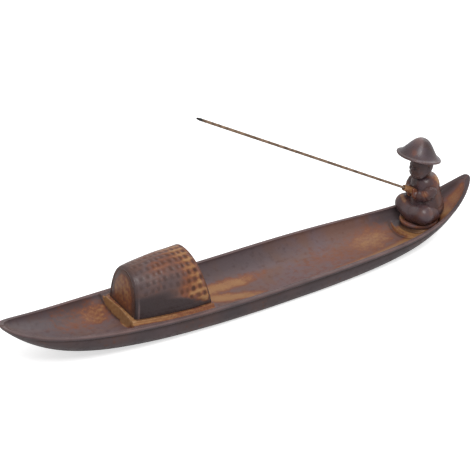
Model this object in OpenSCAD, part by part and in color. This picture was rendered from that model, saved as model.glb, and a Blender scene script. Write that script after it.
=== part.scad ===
// Incense burner: an upswept sampan whose trough catches the ash, with a
// woven-mat canopy and a seated fisherman whose rod is the stick of incense.
// Millimetres. +X to the stern, +Z up, origin under the middle of the hull.

/* [Hull] */
// Length from tip to tip
hull_length = 300; // [280:1:330]
// Breadth over the rim amidships
hull_breadth = 49.6; // [47:0.2:56]
// Height of the rim amidships
rim_height = 13.2; // [12.6:0.1:15]
// Rise of the bow's rim above the rim amidships
bow_rise = 15.8; // [12:0.1:20]
// Rise of the stern's rim above the rim amidships
stern_rise = 18.4; // [16:0.1:22]
// Breadth of the flat lip amidships
lip_breadth = 2.4; // [1.6:0.1:3.2]
// Thickness of the floor amidships
floor_thickness = 4.4; // [3:0.1:5]
// Depth by which the round bilge would run below the flat base
bilge_sink = 2.5; // [1:0.1:3]
// Thickness of the two tips
tip_thickness = 1.8; // [1.2:0.1:3]
// Breadth of the two tips
tip_breadth = 1.2; // [0.6:0.1:3]
// Distance from a tip to the end of the trough
tip_to_trough = 3; // [2.5:0.1:8]

/* [Canopy] */
// Distance of the canopy's bow end ahead of the middle of the hull
canopy_bow_x = 82.5; // [72:0.5:88]
// Length of the canopy
canopy_length = 43.5; // [32:0.5:50]
// Breadth of the arch at its bow end
canopy_bow_breadth = 28.8; // [22:0.2:31]
// Breadth of the arch at its stern end
canopy_stern_breadth = 38; // [30:0.2:38.4]
// Swell of each side halfway along
canopy_side_swell = 1.7; // [0:0.1:2]
// Height of the arch at its bow end
canopy_bow_height = 23; // [20:0.5:32]
// Height of the arch at its stern end
canopy_stern_height = 25.5; // [22:0.5:34]
// Lean of the bow end toward the stern, at the ridge
canopy_bow_lean = 2.5; // [0:0.5:4]
// Lean of the stern end toward the bow, at the ridge
canopy_stern_lean = 5.5; // [0:0.5:8]
// Thickness of the canopy's roof
canopy_thickness = 2.8; // [2:0.1:4]
// Thickness of the wall that closes the bow end
front_wall_thickness = 3; // [2:0.1:5]
// Depth by which the front wall is set back inside the arch
front_wall_recess = 0.2; // [0.1:0.1:2]
// Height of the platform under the canopy's bow end
platform_height = 16.5; // [15.5:0.1:17.5]
// Slope of the platform down to the stern, in degrees
platform_slope = 1.5; // [0:0.1:3]
// Breadth of platform left on each side of the canopy
platform_margin = 1.6; // [1:0.1:1.8]
// Length of platform left at each end of the canopy
platform_ledge = 0.9; // [0.4:0.1:3]
// Height of the platform above the deck around it
platform_rise = 1.3; // [0.8:0.1:2.4]

/* [Seat] */
// Distance of the seat pad's centre behind the middle of the hull
pad_x = 114; // [110:0.5:116]
// Height of the plinth under the seat pad
plinth_height = 10.6; // [10:0.1:11.5]
// Depth by which the plinth is set back under the pad
plinth_inset = 1; // [0.5:0.1:2]
// Height of the low step in front of the plinth
seat_step_height = 8.2; // [7:0.1:9]
// Length of the low step in front of the seat pad
seat_step_margin = 3.2; // [2:0.1:8]
// Diameter of the seat pad
pad_diameter = 22.6; // [20:0.2:23]
// Thickness of the seat pad
pad_thickness = 2.4; // [1.5:0.1:3]
// Gap around the seat pad where it is let into the floor
pad_gap = 0.3; // [0.2:0.05:0.5]

/* [Fisherman] */
// Distance of the figure's middle behind the seat pad's centre
sitting_back = 3; // [2:0.5:4]
// Diameter of each rolled leg
leg_diameter = 11.5; // [9:0.5:13]
// Height of the middle of the knees above the seat pad
knee_height = 6.8; // [5:0.1:8]
// Distance between the middles of the two knees
knee_spread = 17; // [14:0.5:20]
// Distance of the knees in front of the figure's middle
knee_reach = 7; // [5:0.5:8]
// Height of the neck above the seat pad
neck_height = 28.1; // [25:0.1:30]
// Lean of the back toward the bow, in degrees
back_lean = 6.5; // [4:0.5:12]
// Breadth of the torso at the hips
hip_breadth = 22; // [19:0.5:23]
// Breadth of the torso at the shoulders
shoulder_breadth = 17.5; // [13:0.5:19]
// Diameter of the sleeves
sleeve_diameter = 7.4; // [6:0.2:8.4]
// Distance of the elbows in front of the shoulders
elbow_reach = 3.2; // [1:0.1:5]
// Diameter of the head
head_diameter = 14; // [12:0.2:15]
// Height of the head's middle above the neck
head_rise = 6; // [5:0.1:7]
// Diameter of the hat's brim
hat_diameter = 26.2; // [24:0.2:30]
// Height of the hat's crown above its brim
hat_height = 10.3; // [9:0.1:14]
// Fullness of the hat's crown: 1 is a plain bell
hat_fullness = 1.2; // [0.8:0.05:1.6]
// Thickness of the hat
hat_thickness = 1.4; // [1.2:0.1:2.4]
// Tilt of the hat toward the stern, in degrees
hat_tilt = 14; // [5:1:20]

/* [Incense] */
// Diameter of the incense stick
stick_diameter = 1.6; // [1.4:0.1:2]
// Length of the incense stick
stick_length = 164; // [100:1:170]
// Length of its burnt tip
burnt_length = 2.4; // [1:0.2:6]
// Rise of the stick above the horizontal, in degrees
stick_rise = 29.3; // [27:0.1:32]
// Gap all round the stick in its socket
stick_clearance = 0.1; // [0.05:0.01:0.15]
// Depth of the socket
socket_depth = 7; // [6:0.5:9]
// Wall of the grip around the socket
grip_wall = 0.9; // [0.8:0.1:1.4]
// Length of the grip
grip_length = 11; // [10:0.5:13]

/* [Hidden] */
$fn = 48;
glaze = "#6a5453";
glaze_dark = "#54454a";
ochre = "#9a7250";
clay = "#b07d4c";

// Stations along the hull, closer together toward the tips, from -1 to 1.
station_count = 48;
stations = [for (i = [0:station_count]) sin(-90 + 180 * i / station_count)];
section_count = 24;
hull_depth = rim_height + bilge_sink;
trough_depth = rim_height - floor_thickness;
trough_end_depth = 0.3;
trough_scale = 1 - 2 * tip_to_trough / hull_length;
trough_share = 1 - 2 * lip_breadth / hull_breadth;

trough_headroom = 6;

arch_count = 32;
arch_stations = 8;
arch_roundness = 2.2;
ridge_swell = 0.3;
platform_bow = 0.5;
deck_stern_bow = 2;
seat_step_bow = 22;
platform_depth = 4;

seat_x = pad_x + sitting_back;
hips_x = 2.2;
hip_gap = 4;
hip_tuck = 3.2;
hip_share = 0.2;
chest_share = 0.72;
neck_radius = 3.4;
torso_sole = 3;
leg_sink = 0.4;
foot_at = [-2, 1.5, -1];
foot_taper = 0.7;
shoulder_x = -0.8;
shoulder_inset = 1.5;
shoulder_drop = 5.5;
elbow_inset = 0.9;
elbow_drop = 0.4;
hands_reach = 6.3;
hands_height = 17.6;
hand_diameter = 5.6;
fist_at = [-1.8, 2.3, -0.5];
wrist_at = [-0.6, 3.2, -0.6];
sleeve_taper = 0.8;
grip_diameter = stick_diameter + 2 * stick_clearance + 2 * grip_wall;
head_at = [-3.8, 0, neck_height + head_rise];
chin_from = [-1.2, 0, -2.4];
beard_tip = [-3.4, 0, -4.6];
beard_taper = 0.66;
beard_end = 4.4;
hat_dish = 0.1;
hat_forward = 2.4;
hat_lift = 0.2;
burnt_taper = 0.55;

// Half the breadth over the rim: a blunter curve at the bow than at the stern.
function half_breadth(t) = tip_breadth / 2 + (hull_breadth - tip_breadth) / 2
    * (t < 0 ? pow(1 - pow(-t, 2.6), 0.5) : pow(1 - pow(t, 2.74), 0.6));

// Height of the rim: an even sheer with a quick upsweep at each tip.
function rim(t) = rim_height + (t < 0
    ? bow_rise * (0.52 * pow(t, 2) + 0.48 * pow(t, 8))
    : stern_rise * (1.13 * pow(t, 7) - 0.13 * pow(t, 2)));

// Depth from the rim to the keel.
function keel_depth(t) = tip_thickness + (hull_depth - tip_thickness)
    * (t < 0 ? 1 - pow(-t, 7) : pow(1 - pow(t, 2.43), 0.68));

// Depth from the rim to the trough's floor.
function floor_depth(t) = trough_depth
    * (t < 0 ? pow(1 - pow(t, 4), 0.5) : pow(1 - pow(t, 3), 0.6));

// The lower half of a superellipse, from the rim on one side to the rim on the other.
function section(x, half, z, depth, n) =
    [for (j = [0:section_count]) let (a = 180 * j / section_count)
        [x, -half * sign(cos(a)) * pow(abs(cos(a)), 2 / n), z - depth * pow(sin(a), 2 / n)]];

// The skin through a row of closed sections with equal point counts.
module loft(sections) {
    count = len(sections[0]);
    last = len(sections) - 1;
    skin = [for (i = [0:last - 1], j = [0:count - 1])
        let (a = i * count + j, b = i * count + (j + 1) % count)
        [a, a + count, b + count, b]];
    caps = [[for (j = [0:count - 1]) j], [for (j = [count - 1:-1:0]) last * count + j]];
    polyhedron(points = [for (s = sections) each s], faces = concat(skin, caps), convexity = 6);
}

module hull_outside() {
    loft([for (t = stations)
        section(t * hull_length / 2, half_breadth(t), rim(t), keel_depth(t), 3.3 - 1.7 * pow(abs(t), 3))]);
}

// The hollow of the trough, carried up past the rim.
module trough() {
    loft([for (t = stations)
        let (k = t * trough_scale, x = k * hull_length / 2, half = half_breadth(t) * trough_share)
        concat([[x, -half, rim(k) + trough_headroom]],
            section(x, half, rim(k), floor_depth(t) + trough_end_depth, 2),
            [[x, half, rim(k) + trough_headroom]])]);
}

// A step across the hull with bowed ends, between a bow end and a stern end
// each [x, bulge]; its top is z = 0.
module step(bow, stern) {
    depth = 2 * rim_height;
    translate([0, 0, -depth])
        linear_extrude(depth)
            polygon(concat(
                [for (a = [-90:10:90]) [bow[0] + bow[1] * (1 - cos(a)), hull_breadth / 2 * sin(a)]],
                [for (a = [90:-10:-90]) [stern[0] - stern[1] * (1 - cos(a)), hull_breadth / 2 * sin(a)]]));
}

// Places a child on the canopy's platform, at the middle of the canopy's bow end.
module on_platform() {
    translate([-canopy_bow_x, 0, platform_height])
        rotate([0, platform_slope, 0])
            children();
}

// The deck that fills the trough around the canopy.
module deck() {
    on_platform() translate([0, 0, -platform_rise])
        step([-platform_ledge, platform_bow], [canopy_length + platform_ledge, deck_stern_bow]);
}

// The low platform the canopy stands on.
module platform() {
    shares = [for (i = [0:arch_stations])
        mix(-platform_ledge, canopy_length + platform_ledge, i / arch_stations) / canopy_length];
    on_platform() translate([0, 0, -platform_depth])
        linear_extrude(platform_depth)
            polygon(concat(
                [for (s = shares) [s * canopy_length, -canopy_half(s) - platform_margin]],
                [for (i = [arch_stations:-1:0])
                    [shares[i] * canopy_length, canopy_half(shares[i]) + platform_margin]]));
}

// The low step in front of the fisherman and the plinth he sits on.
module seat() {
    translate([0, 0, seat_step_height])
        step([pad_x - pad_diameter / 2 - seat_step_margin, seat_step_bow],
            [hull_length / 2 - tip_to_trough, deck_stern_bow]);
    translate([pad_x, 0, 0])
        cylinder(d = pad_diameter - 2 * plinth_inset, h = plinth_height);
}

module boat_hull() {
    color(glaze) difference() {
        union() {
            difference() {
                hull_outside();
                difference() {
                    trough();
                    deck();
                    seat();
                }
            }
            platform();
        }
        translate([pad_x, 0, plinth_height])
            cylinder(d = pad_diameter + 2 * pad_gap, h = rim_height);
        translate([-hull_length, -hull_breadth, -hull_breadth])
            cube([2 * hull_length, 2 * hull_breadth, hull_breadth]);
    }
}

function mix(a, b, s) = a + s * (b - a);

// Half the breadth of the canopy at a share s of its length.
function canopy_half(s) = mix(canopy_bow_breadth, canopy_stern_breadth, s) / 2
    + canopy_side_swell * 4 * s * (1 - s);

// The upper half of a superellipse leaning along X, closed below at -sole.
function arch(x, half, height, lean, sole) = concat(
    [[x, half, -sole]],
    [for (j = [0:arch_count]) let (a = 180 * j / arch_count, rise = pow(sin(a), 2 / arch_roundness))
        [x + lean * rise, half * sign(cos(a)) * pow(abs(cos(a)), 2 / arch_roundness), height * rise]],
    [[x, -half, -sole]]);

// A tapered arch from x_bow to x_stern, smaller than the canopy's outside by inset all round.
module canopy_form(x_bow, x_stern, inset, sole) {
    loft([for (i = [0:arch_stations])
        let (x = mix(x_bow, x_stern, i / arch_stations), s = x / canopy_length)
        arch(x, canopy_half(s) - inset,
            mix(canopy_bow_height, canopy_stern_height, s) + ridge_swell * 4 * s * (1 - s) - inset,
            mix(canopy_bow_lean, -canopy_stern_lean, s), sole)]);
}

module canopy_hollow() {
    canopy_form(-2, canopy_length + 2, canopy_thickness, 1);
}

module canopy_roof() {
    color(glaze_dark) on_platform() difference() {
        intersection() {
            canopy_form(0, canopy_length, 0, 1);
            above_seat();
        }
        canopy_hollow();
    }
}

module canopy_front_wall() {
    color(ochre) on_platform() intersection() {
        canopy_hollow();
        translate([front_wall_recess, -hull_breadth, 0])
            rotate([0, atan(canopy_bow_lean / canopy_bow_height), 0])
                translate([0, 0, -1])
                    cube([front_wall_thickness, 2 * hull_breadth, 2 * canopy_stern_height]);
        above_seat();
    }
}

// All the space above z = 0, which gives a piece its flat foot.
module above_seat() {
    translate([-hull_length, -hull_length, 0])
        cube(2 * hull_length);
}

// Places a child at the figure's middle, on top of the seat pad.
module on_seat() {
    translate([seat_x, 0, plinth_height + pad_thickness])
        children();
}

module ball(at, d) {
    translate(at)
        sphere(d = d, $fn = 32);
}

// A rolled limb from one point to another.
module limb(from, to, d_from, d_to) {
    hull() {
        ball(from, d_from);
        ball(to, d_to);
    }
}

module seat_pad() {
    color(glaze) translate([pad_x, 0, plinth_height])
        cylinder(d = pad_diameter, h = pad_thickness);
}

module legs() {
    lift = leg_diameter / 2 - leg_sink;
    foot = [foot_at[0] - knee_reach, foot_at[1], lift + foot_at[2]];
    color(glaze_dark) on_seat() intersection() {
        union() {
            for (side = [-1, 1]) {
                limb([-knee_reach, side * knee_spread / 2, knee_height], [hips_x, side * hip_gap, lift],
                    leg_diameter, leg_diameter);
                limb([-knee_reach, side * knee_spread / 2, knee_height],
                    [foot[0], -side * foot[1], foot[2]], leg_diameter, leg_diameter * foot_taper);
            }
        }
        above_seat();
    }
}

// Radius of the torso at a share s of its height: wide at the hips, round at the shoulders.
function torso_radius(s) = s < hip_share
    ? hip_breadth / 2 - hip_tuck * pow(1 - s / hip_share, 2)
    : s < chest_share
        ? mix(shoulder_breadth, hip_breadth,
            (1 + cos(180 * (s - hip_share) / (chest_share - hip_share))) / 2) / 2
        : neck_radius + (shoulder_breadth / 2 - neck_radius)
            * sqrt(1 - pow((s - chest_share) / (1 - chest_share), 2));

module torso() {
    color(glaze_dark) on_seat() intersection() {
        translate([hips_x, 0, 0])
            rotate([0, -back_lean, 0])
                translate([0, 0, -torso_sole])
                    rotate_extrude()
                        polygon(concat([[0, 0]],
                            [for (s = [0:0.04:1]) [torso_radius(s), torso_sole + s * neck_height]],
                            [[0, torso_sole + neck_height]]));
        above_seat();
    }
}

module arm(side) {
    shoulder = [shoulder_x, side * (shoulder_breadth / 2 - shoulder_inset), neck_height - shoulder_drop];
    elbow = [shoulder_x - elbow_reach, side * (shoulder_breadth / 2 - elbow_inset),
        hands_height - elbow_drop];
    wrist = [wrist_at[0] - hands_reach, side * wrist_at[1], hands_height + wrist_at[2]];
    color(glaze_dark) on_seat() {
        limb(shoulder, elbow, sleeve_diameter, sleeve_diameter);
        limb(elbow, wrist, sleeve_diameter, sleeve_diameter * sleeve_taper);
    }
}

module left_arm() {
    arm(-1);
}

module right_arm() {
    arm(1);
}

// Places a child on the axis of the rod, its +Z toward the burnt tip, at the mouth of the socket.
module on_rod() {
    on_seat()
        translate([-hands_reach, 0, hands_height])
            rotate([0, stick_rise - 90, 0])
                translate([0, 0, grip_length])
                    children();
}

module hands() {
    color(ochre) difference() {
        union() {
            on_rod()
                translate([0, 0, -grip_length])
                    cylinder(d = grip_diameter, h = grip_length);
            for (side = [-1, 1])
                on_seat()
                    ball([fist_at[0] - hands_reach, side * fist_at[1], hands_height + fist_at[2]],
                        hand_diameter);
        }
        on_rod()
            translate([0, 0, -socket_depth])
                cylinder(d = stick_diameter + 2 * stick_clearance, h = socket_depth + 1);
    }
}

module head() {
    color(glaze) on_seat() translate(head_at) {
        ball([0, 0, 0], head_diameter);
        limb(chin_from, beard_tip, head_diameter * beard_taper, beard_end);
    }
}

// Height of the hat's top surface above its brim at radius r: a bell.
function hat_top(r) = hat_height * (1 + cos(180 * pow(2 * r / hat_diameter, hat_fullness))) / 2;

module hat() {
    radii = [for (i = [0:24]) hat_diameter / 2 * i / 24];
    crown = head_at[2] + head_diameter / 2;
    color(glaze) on_seat() translate([head_at[0] - hat_forward, 0, crown + hat_lift])
        rotate([0, hat_tilt, 0])
            rotate_extrude()
                polygon(concat([for (r = radii) [r, hat_top(r)]],
                    [for (i = [24:-1:0]) [radii[i], hat_dish * hat_top(radii[i]) - hat_thickness]]));
}

module incense_stick() {
    color(clay) on_rod() translate([0, 0, -socket_depth]) {
        cylinder(d = stick_diameter, h = stick_length - burnt_length);
        translate([0, 0, stick_length - burnt_length])
            cylinder(d1 = stick_diameter, d2 = stick_diameter * burnt_taper, h = burnt_length);
    }
}

boat_hull();
canopy_roof();
canopy_front_wall();
seat_pad();
legs();
torso();
left_arm();
right_arm();
hands();
head();
hat();
incense_stick();
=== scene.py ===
"""A boat incense burner in satin glazed stoneware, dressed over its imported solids."""
import math
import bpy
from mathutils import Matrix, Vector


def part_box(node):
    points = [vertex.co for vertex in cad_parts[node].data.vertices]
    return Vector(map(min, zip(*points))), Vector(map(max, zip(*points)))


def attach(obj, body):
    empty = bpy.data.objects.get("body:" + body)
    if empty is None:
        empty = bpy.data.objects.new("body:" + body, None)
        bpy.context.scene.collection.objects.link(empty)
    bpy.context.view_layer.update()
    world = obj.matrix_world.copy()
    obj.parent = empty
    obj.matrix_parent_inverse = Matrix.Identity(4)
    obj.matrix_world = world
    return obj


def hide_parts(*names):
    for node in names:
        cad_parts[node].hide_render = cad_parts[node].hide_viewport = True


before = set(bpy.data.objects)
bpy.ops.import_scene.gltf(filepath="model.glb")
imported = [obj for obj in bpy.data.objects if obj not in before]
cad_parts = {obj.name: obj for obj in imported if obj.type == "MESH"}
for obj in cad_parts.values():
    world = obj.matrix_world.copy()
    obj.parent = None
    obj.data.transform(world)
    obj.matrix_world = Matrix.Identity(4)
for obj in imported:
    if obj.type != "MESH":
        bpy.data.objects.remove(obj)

import types
from functools import reduce

import bmesh
import bpy
import numpy as np
from bpy.props import FloatProperty, FloatVectorProperty, PointerProperty
from mathutils import Vector

bl_info = {
    "name": "Boat Incense Burner",
    "version": (1, 0, 0),
    "blender": (4, 5, 0),
    "location": "View3D > Sidebar > Incense Burner",
    "description": "Glazed stoneware boat with a mat canopy and a fisherman who holds the incense",
    "category": "Add Mesh",
}

MM = 0.001
BOAT = "boat"
STICK = "incense_stick"
GLAZE_TRAITS = ("ochre", "dark", "pale", "cool")
WELD = 0.001  # millimetres
HULL_LOW, HULL_HIGH = (np.array(corner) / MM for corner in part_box("boat_hull"))
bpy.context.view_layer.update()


# ---------------------------------------------------------------- colours

def srgb(code):
    """The linear colour of an sRGB hex code such as '#6a5453'."""
    values = [int(code[i:i + 2], 16) / 255 for i in (1, 3, 5)]
    return [v / 12.92 if v <= 0.04045 else ((v + 0.055) / 1.055) ** 2.4 for v in values]


GLAZE_BROWN = "#6b4e45"
GLAZE_MAUVE = "#665254"
# The slate also paints shade and sheen, the dark also paints shade, and the lip's pink also paints highlights
# and sheen.
SLATE_GLAZE_SHADE_AND_SHEEN = "#423a3d"
DARK_GLAZE_AND_SHADE = "#2a1a17"
GLAZE_OCHRE = "#966c47"
GLAZE_RUST = "#7a4429"
GLAZE_HONEY = "#b28e68"
GLAZE_DUST = "#8c7468"
PINK_LIP_AND_HIGHLIGHT = "#7a6260"
INCENSE_TAN = "#8d7460"
INCENSE_DARK = "#5d4a3c"
CHAR_BLACK = "#1f1c1a"
ASH_GREY = "#3a3836"
PAPER_WHITE = "#efefef"
WHITE = "#ffffff"

# Where a piece's glaze differs from the hull's: its colours, the size of its clouds and grain in millimetres,
# its roughness and its shine.
MAT_GLAZE = {"brown": "#64463b", "mauve": "#5f4c4a", "cloud_size": 9.0, "grain_size": 2.4, "roughness": 0.34}
WALL_GLAZE = {"brown": "#5f4034", "mauve": "#5c4642", "cloud_size": 7.0, "grain_size": 2.0}
SEAT_GLAZE = {"brown": "#5b4138", "grain_size": 2.4}
ROBE_GLAZE = {"brown": "#482c27", "mauve": "#46363b", "cloud_size": 8.0, "grain_size": 3.0,
              "roughness": 0.33, "shine": 0.36}
HEAD_GLAZE = {"brown": "#54403d", "mauve": "#524548", "cloud_size": 6.0, "grain_size": 1.8, "roughness": 0.36}
HAT_GLAZE = {"brown": "#4b3736", "mauve": "#4c3f46", "cloud_size": 8.0, "grain_size": 2.4,
             "roughness": 0.30, "shine": 0.40}


# ---------------------------------------------------------------- settings

def measure(name, millimetres, description):
    """A setting that holds a length."""
    return FloatProperty(name=name, description=description, default=millimetres * MM, unit="LENGTH")


def angle(name, degrees, description):
    """A setting that holds an angle."""
    return FloatProperty(name=name, description=description, default=math.radians(degrees), unit="ROTATION")


def tint(name, code, description):
    """A setting that holds a colour."""
    return FloatVectorProperty(name=name, description=description, default=srgb(code), subtype="COLOR",
                               min=0, max=1)


ROD_RISE = 29.3  # degrees above the horizontal


class HullSettings(bpy.types.PropertyGroup):
    """Sizes of the hull."""
    rim_height: measure("Rim height", 13.2, "Height of the rim amidships")
    bow_rise: measure("Bow rise", 15.8, "Rise of the bow's rim above the rim amidships")
    stern_rise: measure("Stern rise", 18.4, "Rise of the stern's rim above the rim amidships")
    lip_breadth: measure("Lip", 2.4, "Breadth of the flat lip amidships")
    floor_thickness: measure("Floor", 4.4, "Thickness of the floor amidships")
    bilge_sink: measure("Bilge", 2.5, "Depth by which the bilge would run below the base")
    tip_thickness: measure("Tips", 1.8, "Thickness of the two tips")
    tip_to_trough: measure("Tip to trough", 3.0, "Distance from a tip to the trough's end")


class CanopySettings(bpy.types.PropertyGroup):
    """Sizes of the canopy and of the mat pressed into it."""
    bow_x: measure("Bow end", 82.5, "Distance of the bow end from amidships")
    length: measure("Length", 43.5, "Length of the canopy")
    bow_breadth: measure("Bow breadth", 28.8, "Breadth of the arch at the bow end")
    stern_breadth: measure("Stern breadth", 38, "Breadth of the arch at the stern end")
    side_swell: measure("Side swell", 1.7, "Swell of each side halfway along")
    bow_height: measure("Bow height", 23, "Height of the arch at the bow end")
    stern_height: measure("Stern height", 25.5, "Height of the arch at the stern end")
    ridge_swell: measure("Ridge swell", 0.3, "Swell of the ridge halfway along")
    bow_lean: measure("Bow lean", 2.5, "Lean of the bow end toward the stern, at the ridge")
    stern_lean: measure("Stern lean", 5.5, "Lean of the stern end toward the bow, at the ridge")
    thickness: measure("Thickness", 2.8, "Thickness of the roof")
    platform_height: measure("Platform", 16.5, "Height of the platform under the bow end")
    platform_slope: angle("Platform slope", 1.5, "Slope of the platform down to the stern")
    platform_margin: measure("Platform margin", 1.6, "Breadth of platform left beside the canopy")
    platform_ledge: measure("Platform ledge", 0.9, "Length of platform left at each end")
    platform_rise: measure("Platform rise", 1.3, "Height of the platform above the deck")
    cane_width: measure("Cane width", 4.4, "Distance between two rows of the mat")
    cane_length: measure("Cane length", 3.9, "Distance between two crossings along a row")
    relief: measure("Relief", 0.36, "Depth of the woven relief")


class FigureSettings(bpy.types.PropertyGroup):
    """Sizes of the fisherman and of the seat."""
    pad_x: measure("Seat", 114, "Distance of the seat pad's centre from amidships")
    sitting_back: measure("Sitting back", 3, "Distance of the figure behind the pad's centre")
    plinth_height: measure("Plinth", 10.6, "Height of the plinth under the seat pad")
    plinth_inset: measure("Plinth inset", 1.0, "Depth by which the plinth is set back")
    step_height: measure("Seat step", 8.2, "Height of the low step in front of the plinth")
    step_margin: measure("Seat margin", 3.2, "Length of step in front of the seat pad")
    pad_diameter: measure("Pad", 22.6, "Diameter of the seat pad")
    pad_thickness: measure("Pad thickness", 2.4, "Thickness of the seat pad")
    hat_diameter: measure("Hat", 26.2, "Diameter of the hat's brim")
    hat_height: measure("Hat height", 10.3, "Height of the crown above the brim")
    hat_tilt: angle("Hat tilt", 14, "Tilt of the hat toward the stern")
    stick_rise: angle("Rod rise", ROD_RISE, "Rise of the rod above the horizontal")


class GlazeSettings(bpy.types.PropertyGroup):
    """Colours of the glaze."""
    brown: tint("Brown", GLAZE_BROWN, "Body colour of the glaze")
    mauve: tint("Mauve", GLAZE_MAUVE, "Cool cast where the glaze lies thick")
    ochre: tint("Ochre", GLAZE_OCHRE, "Colour where the glaze breaks thin")


# ---------------------------------------------------------------- numpy helpers

def smoothstep(low, high, value):
    """0 below low, 1 above high, and an S-shaped cubic between them."""
    s = np.clip((value - low) / (high - low), 0, 1)
    return s * s * (3 - 2 * s)


def between(value, start, full, fade, end):
    """0 outside start to end, 1 from full to fade, and an S-shaped cubic on either side."""
    return smoothstep(start, full, value) * smoothstep(end, fade, value)


def bell(value, centre, width):
    """A bell of height 1: e to the power of minus the square of the distance from centre over width."""
    return np.exp(-((value - centre) / width) ** 2)


def highest(*fields):
    """The largest of several fields, point by point."""
    return reduce(np.maximum, fields)


def mix(a, b, s):
    """a at s = 0 and b at s = 1."""
    return a + (b - a) * s


def soft_max(a, b, radius):
    """The larger of a and b, with the corner between them rounded over radius."""
    h = np.clip(0.5 + 0.5 * (a - b) / radius, 0, 1)
    return mix(b, a, h) + radius * h * (1 - h)


def soft_min(a, b, radius):
    """The smaller of a and b, with the corner between them rounded over radius."""
    return -soft_max(-a, -b, radius)


def ripple(p, wavelength, seed):
    """Smooth unevenness from -1 to 1: a sum of six plane waves of random direction near one wavelength."""
    rng = np.random.default_rng(seed)
    total = np.zeros(p.shape[:-1])
    waves, crest = 6, 1.4
    for _ in range(waves):
        direction = rng.normal(size=3)
        direction /= np.linalg.norm(direction)
        pitch = wavelength * rng.uniform(0.7, 1.5)
        total += np.sin(p @ direction * (2 * np.pi / pitch) + rng.uniform(0, 2 * np.pi))
    return total / waves ** 0.5 / crest


def blotches(p, wavelength, seed):
    """The same unevenness from 0 to 1."""
    return 0.5 + 0.5 * ripple(p, wavelength, seed)


def patch(p, centre, half, turn, softness, seed, ragged=0.35):
    """1 inside a ragged oval on the XY plane and 0 outside: the oval's own radius, shaken by ripples."""
    c, s = math.cos(turn), math.sin(turn)
    x, y = p[..., 0] - centre[0], p[..., 1] - centre[1]
    u, v = (c * x + s * y) / half[0], (-s * x + c * y) / half[1]
    reach = np.hypot(u, v) + ragged * 0.5 * (ripple(p, 6, seed) + 0.6 * ripple(p, 2.4, seed + 1))
    return 1 - smoothstep(1 - softness, 1 + softness, reach)


def circle(columns):
    """Angles all round, as one row."""
    return np.linspace(0, 2 * np.pi, columns, endpoint=False)[None]


def pitched(points, turn):
    """Points turned about the Y axis, so that +Z leans toward +X."""
    c, s = math.cos(turn), math.sin(turn)
    x, y, z = points[..., 0], points[..., 1], points[..., 2]
    return np.stack([x * c + z * s, y, -x * s + z * c], -1)


# ---------------------------------------------------------------- mesh makers

def tube_faces(rows, columns):
    """Quads of a tube whose rows are closed rings."""
    i, j = np.meshgrid(np.arange(rows - 1), np.arange(columns), indexing="ij")
    a = i * columns + j
    b = i * columns + (j + 1) % columns
    return np.stack([a, b, b + columns, a + columns], -1).reshape(-1, 4)


def closed_tube(rings, ends=None):
    """Vertices and faces of a closed skin through rings (rows, columns, 3), with a fan to a point at each
    end."""
    rows, columns = rings.shape[:2]
    if ends is None:
        ends = np.stack([rings[0].mean(0), rings[-1].mean(0)])
    vertices = np.concatenate([rings.reshape(-1, 3), ends])
    count = rows * columns
    ring = np.arange(columns)
    following = np.roll(ring, -1)
    first = np.stack([following, ring, np.full_like(ring, count)], -1)
    last = np.stack([ring, following, np.full_like(ring, columns + 1)], -1) + count - columns
    return vertices, tube_faces(rows, columns).tolist() + first.tolist() + last.tolist()


def on_points(values, rings, at_ends=(0, 0)):
    """Values on a closed tube's rings as one for each of its vertices, with those of its two end points
    last."""
    return np.concatenate([np.broadcast_to(values, rings.shape[:2]).ravel(), at_ends])


def sphere_directions(rows, columns):
    """Unit vectors on rings from +Z down to -Z, without the two poles."""
    theta = np.linspace(0, np.pi, rows + 2)[1:-1, None]
    phi = circle(columns)
    return np.stack([np.sin(theta) * np.cos(phi), np.sin(theta) * np.sin(phi), np.cos(theta) + 0 * phi], -1)


def edge_of(inside, reach, shape, halvings):
    """How far each ray runs before inside(distances) turns false, found by halving the span up to reach."""
    near, far = np.zeros(shape), np.full(shape, float(reach))
    for _ in range(halvings):
        middle = (near + far) / 2
        within = inside(middle)
        near, far = np.where(within, middle, near), np.where(within, far, middle)
    return near


def star_surface(distance, centre, reach, rows, columns):
    """A closed surface seen whole from centre: each ray from it ends where distance(p) turns positive."""
    directions = np.concatenate([sphere_directions(rows, columns).reshape(-1, 3), [[0, 0, 1], [0, 0, -1]]])
    away = edge_of(lambda d: distance(centre + directions * d[:, None]) < 0, reach, len(directions), 22)
    points = centre + directions * away[:, None]
    return closed_tube(points[:-2].reshape(rows, columns, 3), points[-2:])


def carried_profile(path, radii, sides, columns):
    """A round profile carried along a path: rings of the given radii (across, along) on the path's own
    axes."""
    forward = np.gradient(path, axis=0)
    forward /= np.linalg.norm(forward, axis=1, keepdims=True)
    across = np.cross(forward, sides)
    across /= np.linalg.norm(across, axis=1, keepdims=True)
    other = np.cross(forward, across)
    a = circle(columns)[..., None]
    return (path[:, None] + np.cos(a) * across[:, None] * radii[:, 0, None, None]
            + np.sin(a) * other[:, None] * radii[:, 1, None, None])


def capsule(p, a, b, radius_a, radius_b):
    """Distance to a round limb from a to b, whose radius goes evenly from one end's to the other's."""
    a, b = np.asarray(a, float), np.asarray(b, float)
    h = np.clip((p - a) @ (b - a) / ((b - a) @ (b - a)), 0, 1)
    return np.linalg.norm(p - a - h[..., None] * (b - a), axis=-1) - mix(radius_a, radius_b, h)


def ellipsoid(p, centre, radii):
    """About the distance to an ellipsoid: its own unit radius less one, times its least radius."""
    unit_radius = np.linalg.norm((p - np.asarray(centre, float)) / np.asarray(radii, float), axis=-1)
    return (unit_radius - 1) * min(radii)


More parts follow.
